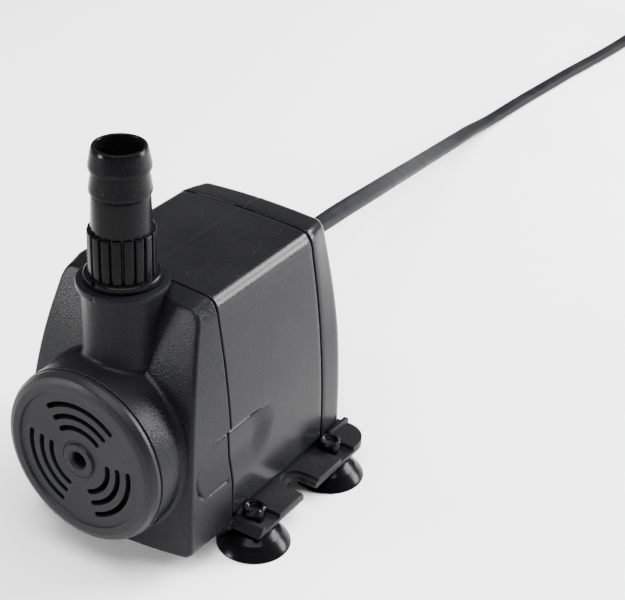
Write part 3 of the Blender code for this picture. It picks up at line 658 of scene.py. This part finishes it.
def cap_rows(half, place, across, verts, offset):
    """Faces that close a ring with rows from side to side."""
    faces = []
    n = len(half)
    rows = []
    for k in range(n - 1):
        x, z = half[k]
        row = [offset + k]
        for i in range(1, across):
            if k == 0:
                row.append(offset + 2 * n - 1 + (across - 1 - i))
            else:
                row.append(len(verts))
                verts.append((x - 2.0 * x * i / across, place(x - 2.0 * x * i / across, z), z))
        row.append(offset + 2 * n - 2 - k)
        rows.append(row)
    for row, above in zip(rows, rows[1:]):
        for i in range(across):
            faces.append((row[i], row[i + 1], above[i + 1], above[i]))
    for i in range(across):
        faces.append((rows[-1][i], rows[-1][i + 1], offset + n - 1))
    return faces


def lofted(name, sections, across=12, loop=False, scoop=False, finish=None, body=None, nodes=()):
    """A body through sections of (half outline, place), with closed ends or joined into a loop."""
    verts = []
    for half, place in sections:
        verts.extend(full_ring(half, place, across, scoop))
    size = len(verts) // len(sections)
    faces = ring_faces(len(sections), size, loop)
    if not loop:
        last = len(sections) - 1
        for index in (0, last):
            half, place = sections[index]
            faces.extend(cap_rows(half, place, across, verts, index * size))
    return make(name, verts, faces, finish, body, nodes, smooth_angle=30.0)


def at(y):
    return lambda x, z: y


def blended(a, b, t):
    return [(p[0] * (1 - t) + q[0] * t, p[1] * (1 - t) + q[1] * t) for p, q in zip(a, b)]


def lip(y, direction, section):
    """Rings of a rounded lip at a seam, from the flank to the end face."""
    rings = []
    for k in range(4):
        angle = math.radians(30.0 * k)
        inset = LIP_R * (1.0 - math.cos(angle))
        back = LIP_R * (1.0 - math.sin(angle))
        rings.append((inset_half(section, inset), at(y - direction * back)))
    return rings


def make_front_shell():
    """Leaning front cover, with a rounded front edge and the front half of each finger scoop."""
    back = half_section(CHIN_Z)
    sections = []
    edge = 1.3
    for k in range(7):
        angle = math.radians(90.0 * k / 6)
        inset = edge * (1.0 - math.sin(angle))
        push = edge * (1.0 - math.cos(angle))
        sections.append((front_half(inset), lambda x, z, p=push: front_face_y(x, z) + p))
    start_half = front_half(0.0)
    steps = 46
    for k in range(1, steps):
        t = k / steps
        sections.append((blended(start_half, back, t), lambda x, z, t=t:
                         (front_face_y(x, z) + edge) * (1 - t) + (SEAM_FRONT_Y - LIP_R) * t))
    sections += lip(SEAM_FRONT_Y, 1.0, back)
    shell = lofted("front_shell_skin", sections, across=36, scoop=True, finish="shell", body="head",
                   nodes=("front_shell",))
    inner_back = inset_half(back, WALL)
    hollow = lofted("front_hollow", [
        (front_half(WALL), lambda x, z: front_face_y(x, z) + WALL),
        (inner_back, at(SEAM_FRONT_Y + 3.0)),
    ], across=36)
    barrel = rod("barrel_passage", BARREL_R + 0.03, -2.0, 44.0, "Y", (0.0, AXIS_Z), 144)
    tube = rod("tube_passage", TUBE_R + 0.03, AXIS_Z, 130.0, "Z", (0.0, OUTLET_Y))
    notch = box("plate_notch", (-60.0, PLATE_LOW[1] - GAP, 0.0), (60.0, 60.0, BODY_BOTTOM_Z))
    cut(shell, [hollow, barrel, tube, notch], 30.0)


def make_barrel_fillet():
    """The small moulded fillet where the front face runs into the barrel."""
    verts = []
    steps, rows, radius = 160, 7, 1.7
    for i in range(steps):
        angle = 2.0 * math.pi * i / steps
        for k in range(rows):
            s = math.radians(90.0 * k / (rows - 1))
            r = BARREL_R + radius * (1.0 - math.sin(s))
            x, z = r * math.cos(angle), AXIS_Z + r * math.sin(angle)
            y = front_face_y(x, z) + 0.05 - radius * (1.0 - math.cos(s))
            verts.append((x, y, z))
    make("barrel_fillet", verts, column_faces(steps, rows), "shell", "head", ())


BULKHEAD_FRONT_Y, BULKHEAD_REAR_Y = 42.6, 45.0
CAN_HOLE_R = 11.7


def make_motor_housing():
    """Middle of the body, open at both ends, with the rear half of each scoop and the front bulkhead."""
    section = half_section(BODY_BOTTOM_Z)
    front, rear = SEAM_FRONT_Y + GAP + 0.4, SEAM_REAR_Y
    sections = list(reversed(lip(front, -1.0, section)))
    y = front + 0.6
    while y < rear - 0.6:
        sections.append((section, at(y)))
        y += 0.5 if y < 64.0 else 2.0
    sections += lip(rear, 1.0, section)
    inner = inset_half(section, WALL)
    sections.append((inner, at(rear)))
    sections.append((inner, at(front)))
    housing = lofted("motor_housing_skin", sections, loop=True, scoop=True, finish="housing",
                     body="housing", nodes=("motor_housing",))
    cut(housing, [rod("tube_notch", TUBE_R + GAP, 80.0, 130.0, "Z", (0.0, OUTLET_Y))])
    inside = inset_half(section, WALL - 0.3)
    bulkhead = lofted("motor_bulkhead", [(inside, at(BULKHEAD_FRONT_Y)), (inside, at(BULKHEAD_REAR_Y))],
                      across=24)
    cut(bulkhead, [rod("can_passage", CAN_HOLE_R, 40.0, 47.0, "Y", (0.0, AXIS_Z))])
    bulkhead.data.materials.append(MATERIALS["housing"])
    stand_in(bulkhead, "housing", ())


# How far the cover's shoulders are drawn in at its back edge, how much more over the rounding, and
# how far those of its hollow are at the back.
COVER_TUCK = 2.2
COVER_EDGE_TUCK = 1.1
COVER_BACK_TUCK = 3.3


def make_rear_cover():
    """Shallow rear cover, drawn in at its upper back, with a hole for the lead and four screw seats."""
    section = half_section(BODY_BOTTOM_Z)
    front = COVER_LOW[1] + 0.4
    skin = inset_half(section, -0.1)
    sections = list(reversed(lip(front, -1.0, skin)))
    for k in range(1, 5):
        sections.append((tucked(skin, COVER_TUCK * (k / 4) ** 1.3),
                         at(front + 0.5 + (COVER_BACK_Y - 4.6 - front) * k / 4)))
    edge = 4.0
    for k in range(1, 9):
        angle = math.radians(90.0 * k / 8)
        rounded = inset_half(section, -0.1 + edge * (1.0 - math.cos(angle)) * 0.8)
        sections.append((tucked(rounded, COVER_TUCK + COVER_EDGE_TUCK * k / 8),
                         at(COVER_BACK_Y - edge * (1.0 - math.sin(angle)))))
    cover = lofted("rear_cover_skin", sections, across=30, finish="housing", body="housing",
                   nodes=("rear_cover",))
    cutters = [lofted("cover_hollow", [
        (inset_half(section, WALL), at(front - 3.0)), (inset_half(section, WALL), at(front + 0.6)),
        (tucked(inset_half(section, WALL), COVER_TUCK), at(COVER_BACK_Y - 5.0)),
        (tucked(inset_half(section, WALL + 2.0), COVER_BACK_TUCK), at(COVER_BACK_Y - WALL)),
    ])]
    cutters.append(rod("gland_hole", 6.0, 95.0, 110.0, "Y", (0.0, LEAD_EXIT_Z)))
    for index in range(4):
        place = middle(*sides(f"cover_screw_{index + 1}"), "XZ")
        cutters.append(turned(f"seat_{index}", [
            (0.0, COVER_BACK_Y - 1.4), (3.2, COVER_BACK_Y - 1.4), (3.5, COVER_BACK_Y + 0.1), (3.5, 110.0),
            (0.0, 110.0),
        ], "Y", place, steps=48))
        cutters.append(rod(f"shank_hole_{index}", 1.6, 95.0, 110.0, "Y", place, 24))
    cut(cover, cutters, 30.0)


def make_screws():
    """Slotted stainless screws in the rear cover."""
    for index in range(4):
        node_name = f"cover_screw_{index + 1}"
        low, high = sides(node_name)
        place = middle(low, high, "XZ")
        top = high[1]
        screw = turned(node_name + "_turned", [
            (0.0, low[1]), (1.2, low[1] + 0.6), (1.25, top - 1.7), (2.8, top - 1.7), (2.8, top - 0.9),
            (2.1, top - 0.2), (0.0, top),
        ], "Y", place, "steel", "housing", (node_name,), steps=40, soft=0.25)
        slot_box = box(f"drive_{index}", (place[0] - 3.2, top - 0.85, place[1] - 0.38),
                       (place[0] + 3.2, top + 1.0, place[1] + 0.38))
        cut(screw, [slot_box], 30.0)


# ---------------------------------------------------------------- pump head

SLOT_RINGS = (20.0, 15.7, 11.6)
SLOT_WIDTH = 1.9
SLOT_HALF_ANGLE = 38.5
SLOT_CENTRES = (88.0, 208.0, 328.0)


def arc_slot(name, radius, width, heading, half, y0, y1):
    """A curved slot about the pump axis with round ends, half degrees long to each side of heading."""
    outline = []
    for side, opening in ((1.0, 0.0), (-1.0, 180.0)):
        last = heading + side * half
        outline += arc(0.0, AXIS_Z, radius + side * width / 2, heading - side * half, last, 28)
        end = math.radians(last)
        outline += arc(radius * math.cos(end), AXIS_Z + radius * math.sin(end), width / 2,
                       last + opening, last + opening + 180.0, 8)[1:-1]
    return prism(name, outline, "XZ", y0, y1)


def make_intake_disc():
    """Round cap with three fans of arc slots, a stepped face, a centre hole in a low boss and a skirt."""
    profile = [
        (2.85, 0.9), (3.6, 0.05), (5.7, 0.05), (6.0, 1.1), (6.5, 1.1), (6.8, 0.8), (24.4, 0.8),
        (24.7, 0.0), (27.4, 0.0), (29.4, 0.9), (DISC_R, 2.8), (DISC_R, 4.3), (28.0, 4.3), (28.0, 8.6),
        (26.2, 8.6), (26.2, 2.9), (7.0, 2.9), (7.0, 6.2), (2.85, 6.2),
    ]
    soft = [0.2, 0.3, 0.2, 0.1, 0.1, 0.15, 0.25, 0.35, 1.6, 1.4, 0.8, 0.25, 0.0, 0.2, 0.2, 0.0, 0.0,
            0.2, 0.2]
    disc = turned("intake_disc_turned", softened(profile, soft), "Y", (0.0, AXIS_Z), "disc", "disc",
                  ("intake_disc",), steps=160)
    cutters = []
    for ring, radius in enumerate(SLOT_RINGS):
        for group, heading in enumerate(SLOT_CENTRES):
            cutters.append(arc_slot(f"slot_{ring}_{group}", radius, SLOT_WIDTH, heading,
                                    SLOT_HALF_ANGLE, -1.0, 4.0))
    cut(disc, cutters, 28.0)


def make_pump_chamber():
    """Barrel with its inlet windows and cavity."""
    profile = [
        (0.0, 9.4), (28.4, 9.4), (28.4, 4.6), (BARREL_R, 4.6), (BARREL_R, 32.5), (26.0, 32.5),
        (26.0, 39.0), (20.0, 39.0), (20.0, 14.0), (0.0, 14.0),
    ]
    chamber = turned("chamber_barrel", softened(profile, [0, 0, 0.25, 0.35, 0.3, 0, 0.3, 0.2, 0, 0]), "Y",
                     (0.0, AXIS_Z), "shell", "head", ("pump_chamber",), steps=144)
    cutters = [rod("bush_hole", 4.9, 5.0, 20.0, "Y", (0.0, AXIS_Z)),
               rod("bore_mouth", BORE_R, AXIS_Z + 12.0, FLANGE_Z + 1.0, "Z", (0.0, OUTLET_Y))]
    for group, heading in enumerate(SLOT_CENTRES):
        cutters.append(arc_slot(f"window_{group}", 13.5, 9.0, heading, 24.0, 8.0, 15.0))
    cut(chamber, cutters, 30.0)


def barrel_top(x):
    return AXIS_Z + math.sqrt(max(0.0, BARREL_R ** 2 - x * x))


def make_outlet_tube():
    """Outlet tube out of the barrel, with a small fillet at its foot, an open bore and the top flange."""
    verts = []
    steps, foot = 128, 1.6
    rows = []
    for k in range(7):
        s = math.radians(90.0 * k / 6)
        rows.append((foot * (1.0 - math.sin(s)), foot * (1.0 - math.cos(s))))
    top = [
        (TUBE_R, FLANGE_Z - 3.4), (TUBE_R + 0.15, FLANGE_Z - 2.7), (TUBE_R + 0.7, FLANGE_Z - 2.4),
        (FLANGE_R - 0.45, FLANGE_Z - 2.35), (FLANGE_R - 0.1, FLANGE_Z - 2.15),
        (FLANGE_R, FLANGE_Z - 1.8), (FLANGE_R, FLANGE_Z - 0.5), (FLANGE_R - 0.15, FLANGE_Z - 0.12),
        (FLANGE_R - 0.5, FLANGE_Z), (10.5, FLANGE_Z), (BORE_R, FLANGE_Z - 0.5), (BORE_R, AXIS_Z + 17.4),
    ]
    for i in range(steps):
        angle = 2.0 * math.pi * i / steps
        for out, up in rows:
            r = TUBE_R + out
            x, y = r * math.cos(angle), OUTLET_Y + r * math.sin(angle)
            verts.append((x, y, barrel_top(x) + up))
        for r, z in top:
            mark = 0.0
            if r > FLANGE_R - 0.3 and z < FLANGE_Z - 0.3:
                mark = 0.35 * (1.0 - smoothstep(0.014, 0.03, abs(angle - 1.5 * math.pi)))
            verts.append(((r - mark) * math.cos(angle), OUTLET_Y + (r - mark) * math.sin(angle), z))
    make("outlet_tube", verts, column_faces(steps, len(rows) + len(top)), "tube", "head", (),
         smooth_angle=40.0)


def make_hose_adapter():
    """Collar with an index notch, and the shank with two barbs, a chamfered rim and an open bore."""
    low = FLANGE_Z + GAP
    top = ADAPTER_TOP_Z
    profile = [
        (8.9, ADAPTER_LOW[2]), (8.9, low), (COLLAR_R, low), (COLLAR_R, GRIP_LOW_Z - 0.4),
        (COLLAR_R - 0.5, GRIP_LOW_Z), (9.6, GRIP_LOW_Z), (9.6, GRIP_TOP_Z - 1.0), (9.78, GRIP_TOP_Z),
        (9.35, top - 16.2), (9.12, top - 15.4), (9.95, top - 15.0), (9.95, top - 13.9), (9.08, top - 8.2),
        (9.06, top - 7.7), (9.9, top - 7.3), (9.9, top - 6.0), (9.0, top - 1.2), (8.55, top),
        (ADAPTER_BORE_R, top), (ADAPTER_BORE_R, ADAPTER_LOW[2]),
    ]
    soft = [0, 0, 0.3, 0.4, 0.3, 0, 0, 0, 0.5, 0.15, 0.3, 0.5, 0.3, 0.15, 0.3, 0.6, 0.9, 0.35, 0.3, 0]
    adapter = turned("adapter_body", softened(profile, soft), "Z", (0.0, OUTLET_Y), "adapter", "adapter",
                     ("hose_adapter",), steps=128)
    turn = math.radians(-98.0)
    notch = box("collar_notch", (-1.0, -1.6, -1.1), (1.0, 1.6, 3.0))
    reach = COLLAR_R + 0.6
    shift = spot(reach * math.cos(turn), OUTLET_Y + reach * math.sin(turn), GRIP_LOW_Z)
    notch.data.transform(Matrix.Translation(-spot(0.0, 0.0, 0.0)))
    notch.data.transform(Matrix.Translation(shift) @ Matrix.Rotation(turn + math.pi / 2, 4, "Z"))
    cut(adapter, [notch], 32.0)


def make_grip():
    """The grip's straight ribs: flat crowns with rounded shoulders and narrow grooves between them."""
    verts = []
    per_rib = 20
    steps = GRIP_RIBS * per_rib
    root = 9.75
    levels = [(GRIP_LOW_Z - 0.1, 1.0), (GRIP_TOP_Z - 0.5, 1.0), (GRIP_TOP_Z - 0.15, 0.93),
              (GRIP_TOP_Z, 0.75), (GRIP_TOP_Z, 0.0)]
    for z, share in levels:
        for i in range(steps):
            angle = 2.0 * math.pi * i / steps
            phase = abs(((i + per_rib / 2) % per_rib) / per_rib - 0.5) * 2.0
            crown = 1.0 - smoothstep(0.66, 0.86, phase)
            r = root + (GRIP_R - root) * crown * share
            verts.append((r * math.cos(angle), OUTLET_Y + r * math.sin(angle), z))
    make("adapter_grip", verts, ring_faces(len(levels), steps), "adapter", "adapter", (),
         smooth_angle=42.0)


# ---------------------------------------------------------------- plate and cups

LEDGE_Z = 9.9
PLATE_TOP_Z = 11.65
# A place beyond the plate's side edge, where cutters end.
OUTSIDE_X = 60.0
# Each side notch as its inner end's centre and radius: the hole, and the wider step round its top.
NOTCH = ((41.0, 66.4), 3.8)
NOTCH_STEP = ((40.2, 66.9), 5.1)
# What is cut away above the low skirt at each side's front, as (y, z).
SKIRT_CUT = ((30.0, 8.0), (35.2, 8.0), (38.4, 12.4), (30.0, 12.4))


def edge_bite(name, side, centre, radius, low, high):
    """A cutter with a round inner end that runs out over the plate's edge on one side."""
    outline = [(side * OUTSIDE_X, centre[1] - radius)]
    outline += [(side * x, y) for x, y in arc(*centre, radius, 270, 90, 20)]
    outline += [(side * OUTSIDE_X, centre[1] + radius)]
    return prism(name, outline, "XY", low, high)


def turn_to_side(obj):
    """Turns a prism drawn as (y, z) outlines with its height along x into place."""
    for vertex in obj.data.vertices:
        a, b, c = (vertex.co / MM) - Vector(ORIGIN)
        vertex.co = spot(c, a, b)


def make_base_plate():
    """Plate with round corners and, on each side, a low front skirt, a stepped notch, two slots for
    the cups' necks and a rib at the rear."""
    front, rear, edge = PLATE_LOW[1], PLATE_HIGH[1], PLATE_HIGH[0]
    top = PLATE_TOP_Z
    outline = arc(edge - 3.0, front + 3.0, 3.0, -90, 0, 8)
    outline += arc(edge - 9.0, rear - 9.0, 9.0, 0, 90, 14)
    outline += [(-x, y) for x, y in reversed(outline)]
    plate = prism("base_plate_moulded", outline, "XY", CHIN_Z, top, "plate", "housing", ("base_plate",),
                  "plate_plastic")
    cutters = []
    for side, label in SIDES:
        cutters.append(edge_bite("notch_" + label, side, *NOTCH, 0.0, 20.0))
        cutters.append(edge_bite("notch_step_" + label, side, *NOTCH_STEP, top - 0.9, 20.0))
        skirt = prism("skirt_" + label, SKIRT_CUT, "XY", *sorted((side * 36.0, side * OUTSIDE_X)))
        turn_to_side(skirt)
        cutters.append(skirt)
        x0, x1 = sorted((side * (HALF_WIDTH - 2.0), side * OUTSIDE_X))
        for row in ("front", "rear"):
            (y,) = middle(*sides(f"suction_cup_{row}_{label}"), "Y")
            cutters.append(prism(f"seat_{label}_{row}", [
                (x0, y - 3.4), (x1, y - 3.8), (x1, y + 4.4), (x0, y + 5.0),
            ], "XY", LEDGE_Z, 20.0))
    cut(plate, cutters)
    round_edges(plate, 0.4, 3, 40.0)
    for side, label in SIDES:
        x0, x1 = sorted((side * (HALF_WIDTH + 0.6), side * (HALF_WIDTH + 2.2)))
        rib = prism("plate_rib_" + label, [
            (92.0, top - 0.5), (rear - 1.0, top - 0.5), (rear - 1.0, 14.4), (rear - 1.8, 15.0),
            (94.0, 15.0),
        ], "XY", x0, x1, "plate", "housing", (), "plate_plastic")
        turn_to_side(rib)
        round_edges(rib, 0.25, 2, 30.0)


def make_cups():
    """Suction cups with a domed skirt, a neck in the plate's slot and a crumpled, hollow head."""
    for label in ("left", "right"):
        for row in ("front", "rear"):
            node_name = f"suction_cup_{row}_{label}"
            low, high = sides(node_name)
            centre = middle(low, high, "XY")
            r = (high[0] - low[0]) / 2
            top = high[2]
            profile = [
                (0.0, 3.2), (8.5, 1.9), (r - 0.9, 0.0), (r - 0.25, 0.0), (r, 0.35), (r - 0.5, 1.2),
                (r - 1.6, 2.6), (r - 3.4, 4.6), (r - 5.6, 6.3), (r - 7.6, 7.3), (3.9, 8.2), (2.7, 8.3),
                (2.7, LEDGE_Z + GAP), (3.95, LEDGE_Z + GAP), (3.9, top - 0.6), (3.3, top),
                (2.6, top - 0.15), (2.0, top - 1.0), (0.0, top - 1.3),
            ]
            soft = [0, 0, 0.2, 0.2, 0.3, 1.5, 2, 2, 2, 1, 0.5, 0.2, 0.2, 0.3, 0.5, 0.3, 0.3, 0.4, 0]
            cup = turned(node_name + "_moulded", softened(profile, soft), "Z", centre, "cup", "housing",
                         (node_name,), steps=80, smooth_angle=50.0)
            crown = spot(*centre, top)
            for vertex in cup.data.vertices:
                if vertex.co.z > (LEDGE_Z + 1.0) * MM:
                    wrinkle = noise.noise((vertex.co + Vector((0.3, 0.7, 0.1))) * 620.0)
                    above = smoothstep(0.0, 1.0, (vertex.co.z - (LEDGE_Z + 1.0) * MM) / (3.0 * MM))
                    out = (vertex.co - crown) * Vector((1.0, 1.0, 0.0))
                    vertex.co += out * wrinkle * 0.11 * above
                    vertex.co.z += wrinkle * above * 0.3 * MM


# ---------------------------------------------------------------- lead

# The free route of the lead: out of the strain relief, down to the floor in a long fall, and on to
# the coil.
LEAD_ROUTE = [
    (0.0, 128.3, 67.5), (-0.7, 143.0, 66.6), (-3.6, 165.0, 63.2), (-9.6, 195.0, 56.1),
    (-17.5, 225.0, 47.3), (-26.0, 255.0, 37.9), (-34.4, 285.0, 28.6), (-42.1, 315.0, 20.0),
    (-48.5, 345.0, 12.6), (-53.1, 375.0, 7.1), (-54.8, 400.0, 4.3), (-54.1, 430.0, 3.6),
    (-51.0, 475.0, 3.5), (-48.3, 525.0, 3.5), (-45.8, 570.0, 3.5),
]
# The winding, as (lane radius, layer height, turns), from the outside in and back out on top.
OUTER_LANE, INNER_LANE = 38.5, 31.4
LAYERS = (2.3, 6.6, 10.9)
WINDING = (
    (OUTER_LANE, LAYERS[0], 1.0), (INNER_LANE, LAYERS[0], 1.0), (INNER_LANE, LAYERS[1], 1.0),
    (INNER_LANE, LAYERS[2], 0.5), (OUTER_LANE, LAYERS[1], 1.0),
)


def coil_points():
    """Points along the winding, clockwise from its left side, with lanes changed over an eighth turn."""
    points = []
    total = 0.0
    bounds = []
    for lane, height, turns in WINDING:
        total += turns * 360.0
        bounds.append((total, lane, height))
    count = round(total / 6.0)
    for i in range(count + 1):
        here = total * i / count
        for k, (end, lane, height) in enumerate(bounds):
            if here <= end + 1e-6:
                radius, z = lane, height
                if k + 1 < len(bounds) and here > end - 45.0:
                    t = smoothstep(end - 45.0, end, here)
                    radius += (bounds[k + 1][1] - lane) * t
                    z += (bounds[k + 1][2] - height) * t
                break
        a = math.radians(180.0 - here)
        points.append(Vector((COIL_CENTRE[0] + radius * math.cos(a),
                              COIL_CENTRE[1] + radius * math.sin(a), z)))
    return points


def smooth_route(route, spacing):
    """Points every spacing millimetres along a smooth curve through the route."""
    points = [Vector(p) for p in route]
    ends = [points[0] * 2 - points[1]] + points + [points[-1] * 2 - points[-2]]
    fine = []
    for i in range(1, len(ends) - 2):
        p0, p1, p2, p3 = ends[i - 1], ends[i], ends[i + 1], ends[i + 2]
        for step in range(24):
            t = step / 24.0
            fine.append(0.5 * (2 * p1 + (p2 - p0) * t + (2 * p0 - 5 * p1 + 4 * p2 - p3) * t * t
                               + (3 * p1 - p0 - 3 * p2 + p3) * t ** 3))
    fine.append(points[-1])
    result = [fine[0]]
    walked = 0.0
    for a, b in zip(fine, fine[1:]):
        length = (b - a).length
        while walked + length >= spacing * len(result):
            result.append(a.lerp(b, (spacing * len(result) - walked) / length))
        walked += length
    result.append(fine[-1])
    return result


def flat_profile(width, thickness):
    """Section of a flat two-core cord: round sides, flat faces and a shallow valley in the middle."""
    points = []
    count = 28
    for i in range(count):
        angle = 2.0 * math.pi * i / count
        c, s = math.cos(angle), math.sin(angle)
        across = width / 2 * math.copysign(abs(c) ** 0.72, c)
        rise = thickness / 2 * math.copysign(abs(s) ** 0.72, s)
        valley = 0.1 * math.exp(-(across / 0.7) ** 2)
        points.append((across, rise * (1.0 - valley)))
    return points


def swept(name, path, profile, finish, body, nodes, twist=lambda point: 0.0):
    """A profile carried along a path, its wide side level but for a twist in degrees, with closed ends."""
    verts = []
    n = len(profile)
    for i, point in enumerate(path):
        before = path[max(0, i - 1)]
        after = path[min(len(path) - 1, i + 1)]
        along = (after - before).normalized()
        across = along.cross(Vector((0.0, 0.0, 1.0))).normalized()
        up = across.cross(along)
        turn = math.radians(twist(point))
        across, up = (across * math.cos(turn) - up * math.sin(turn),
                      up * math.cos(turn) + across * math.sin(turn))
        for a, b in profile:
            verts.append(tuple(point + across * a + up * b))
    faces = ring_faces(len(path), n)
    faces.append(tuple(range(n)))
    faces.append(tuple(range(len(verts) - 1, len(verts) - 1 - n, -1)))
    return make(name, verts, faces, finish, body, nodes, smooth_angle=45.0)


def free_twist(point):
    """The lead leans towards the right in its fall and lies flat again on the floor."""
    return 34.0 * smoothstep(131.0, 160.0, point.y) * (1.0 - smoothstep(330.0, 400.0, point.y))


def make_lead():
    """The flat lead: its free run, its winding and the short run into the plug's sleeve."""
    free = smooth_route(LEAD_ROUTE, 6.0)
    # The cord is thinner than it is wide, so its middle lies lower where it rests on the floor.
    drop = (LEAD_WIDTH - LEAD_THICKNESS) / 2 - 0.2
    route = []
    for point in free:
        share = smoothstep(9.0, 3.4, point.z)
        route.append(Vector((point.x, point.y, point.z - drop * share)))
    # The free run comes in beside the ring's left side, half a lane inside the coil's outer edge.
    winding = coil_points()
    join = winding[0]
    for i, point in enumerate(route):
        share = smoothstep(470.0, COIL_CENTRE[1] - 20.0, point.y)
        route[i] = Vector((point.x + (join.x - point.x) * share, point.y,
                           point.z + (join.z - point.z) * share))
    tail_start = winding[-1]
    plug_x, plug_z = middle(PLUG_LOW, PLUG_HIGH, "XZ")
    sleeve = Vector((plug_x, PLUG_HIGH[1] - 8.0, plug_z))
    tail = [tail_start + (sleeve - tail_start) * (k / 6) for k in range(1, 7)]
    path = route + winding[1:] + tail
    lead = swept("flat_lead", path, flat_profile(LEAD_WIDTH, LEAD_THICKNESS), "lead", "housing",
                 ("power_lead", "lead_coil"), free_twist)


def make_strain_relief():
    """Tapered sleeve on the rear cover, ringed with flexing grooves."""
    y = COVER_BACK_Y
    profile = [(3.9, y - 4.6), (8.0, y - 4.6), (8.0, y - 2.5), (5.7, y - 2.5), (5.7, y + 0.35),
               (6.8, y + 0.35), (6.8, y + 2.6)]
    soft = [0, 0.2, 0.2, 0, 0, 0.2, 0.8]
    grooves = 5
    start, end = y + 3.4, GLAND_END_Y - 1.5
    pitch = (end - start) / grooves
    for k in range(grooves):
        here = start + pitch * k
        r = 5.75 - 0.9 * (here - start) / (end - start)
        profile += [(r, here), (r - 0.1, here + pitch * 0.62), (r - 0.75, here + pitch * 0.7),
                    (r - 0.78, here + pitch * 0.92)]
        soft += [0.3, 0.3, 0.15, 0.15]
    profile += [(4.85, end), (4.6, GLAND_END_Y), (3.9, GLAND_END_Y)]
    soft += [0.3, 0.4, 0.2]
    return turned("strain_relief_sleeve", softened(profile, soft, 3), "Y", (0.0, LEAD_EXIT_Z), "plug",
                  "housing", ("strain_relief",), steps=64)


def make_tie():
    """Flat tie over the winding, open where it meets the floor, with a raised middle."""
    low, high = sides("lead_tie")
    x = (low[0] + high[0]) / 2
    y0, y1, z0, z1 = low[1] + 0.4, high[1] - 0.4, 0.5, high[2] - 0.4
    path = []
    corner = 2.4
    for cy, cz, start in ((y1 - corner, z1 - corner, 0), (y0 + corner, z1 - corner, 90)):
        path += arc(cy, cz, corner, start, start + 90, 6)
    path = [(y1, z0)] + path + [(y0, z0)]
    verts = []
    for i, (y, z) in enumerate(path):
        before, after = path[max(0, i - 1)], path[min(len(path) - 1, i + 1)]
        along = Vector((after[0] - before[0], after[1] - before[1])).normalized()
        out = Vector((along.y, -along.x))
        for dx, lift in ((-2.0, 0.0), (-2.0, 0.35), (-0.5, 0.55), (0.5, 0.55), (2.0, 0.35), (2.0, 0.0)):
            verts.append((x + dx, y + out.x * (lift - 0.2), z + out.y * (lift - 0.2)))
    faces = ring_faces(len(path), 6)
    faces += [tuple(range(6)), tuple(range(len(verts) - 1, len(verts) - 7, -1))]
    return make("coil_tie_band", verts, faces, "adapter", "housing", ("lead_tie",))


def make_plug():
    """Flat two-pin plug: a waisted body with rounded edges, grip ribs and a ringed sleeve, and its pins."""
    middle_x = (PLUG_LOW[0] + PLUG_HIGH[0]) / 2
    rear, front, height = PLUG_HIGH[1], PLUG_LOW[1], PLUG_HIGH[2]
    half = [(4.4, rear - 12.0), (5.6, rear - 14.0), (9.0, rear - 17.0), (11.9, rear - 23.0),
            (12.7, rear - 30.0), (13.0, rear - 38.0)]
    half += arc(9.5, front + 3.5, 3.5, 0, -90, 6)
    outline = [(middle_x + x, y) for x, y in half] + [(middle_x - x, y) for x, y in reversed(half)]
    plug = prism("plug_moulded", outline, "XY", 0.3, height, "plug", "housing", ("plug_body",),
                 "lead_rubber")
    round_edges(plug, 1.6, 4, 50.0)
    sleeve_profile = [(0.0, rear - 14.0), (5.4, rear - 14.0)]
    for k in range(4):
        y = rear - 12.2 + 3.0 * k
        r = 5.2 - 0.25 * k
        sleeve_profile += [(r, y), (r, y + 1.9), (r - 0.7, y + 2.1), (r - 0.7, y + 2.8)]
    sleeve_profile += [(4.3, rear), (0.0, rear)]
    sleeve = turned("plug_sleeve", sleeve_profile, "Y", (middle_x, height / 2), "plug", "housing", (),
                    steps=40, soft=0.2)
    ribs = []
    for side in (-1.0, 1.0):
        for k in range(5):
            y = rear - 20.5 - 2.4 * k
            rib = box(f"plug_grip_{len(ribs)}",
                      (middle_x - 7.5 + k * 0.25, y, height - 0.5 if side > 0 else 0.05),
                      (middle_x + 7.5 - k * 0.25, y + 1.1, height + 0.35 if side > 0 else 0.8))
            round_edges(rib, 0.3, 2)
            rib.data.materials.append(MATERIALS["plug"])
            stand_in(rib, "housing", ())
            ribs.append(rib)
    pins = []
    for label in ("left", "right"):
        node_name = "plug_pin_" + label
        low, high = sides(node_name)
        place = middle(low, high, "XZ")
        pins.append(turned(node_name + "_turned", [
            (0.0, low[1]), (1.3, low[1] + 0.1), (2.0, low[1] + 1.3), (2.0, high[1] - 9.0),
            (2.0, high[1]), (0.0, high[1]),
        ], "Y", place, "pin", "housing", (node_name,), steps=40, soft=0.5))
        pins.append(turned("pin_sleeve_" + label, [
            (1.9, high[1] - 9.4), (2.03, high[1] - 9.4), (2.03, high[1] + 0.2), (1.9, high[1] + 0.2),
        ], "Y", place, "plug", "housing", (), steps=40))
    return plug, [sleeve] + ribs + pins


# ---------------------------------------------------------------- inner pieces

def finish_inner_nodes():
    """Procedural materials on the CAD nodes that keep their own shape."""
    finishes = {
        "rotor_can": "housing", "chamber_seal": "seal", "shaft_bush_front": "seal",
        "shaft_bush_rear": "seal", "adapter_seal": "seal", "stator_core": "core", "coil_left": "copper",
        "coil_right": "copper", "resin_potting": "resin", "impeller": "impeller",
        "rotor_magnet": "ferrite", "ceramic_shaft": "ceramic",
    }
    for name, finish in finishes.items():
        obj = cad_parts[name]
        if not obj.data.materials:
            obj.data.materials.append(MATERIALS[finish])
        for slot in obj.material_slots:
            slot.material = MATERIALS[finish]


make_camera()
make_studio()
plug, plug_pieces = make_plug()
relief = make_strain_relief()
tie = make_tie()
make_lead()

make_front_shell()
make_barrel_fillet()
make_motor_housing()
make_rear_cover()
make_screws()
make_intake_disc()
make_pump_chamber()
make_outlet_tube()
make_hose_adapter()
make_grip()
make_base_plate()
make_cups()
finish_inner_nodes()
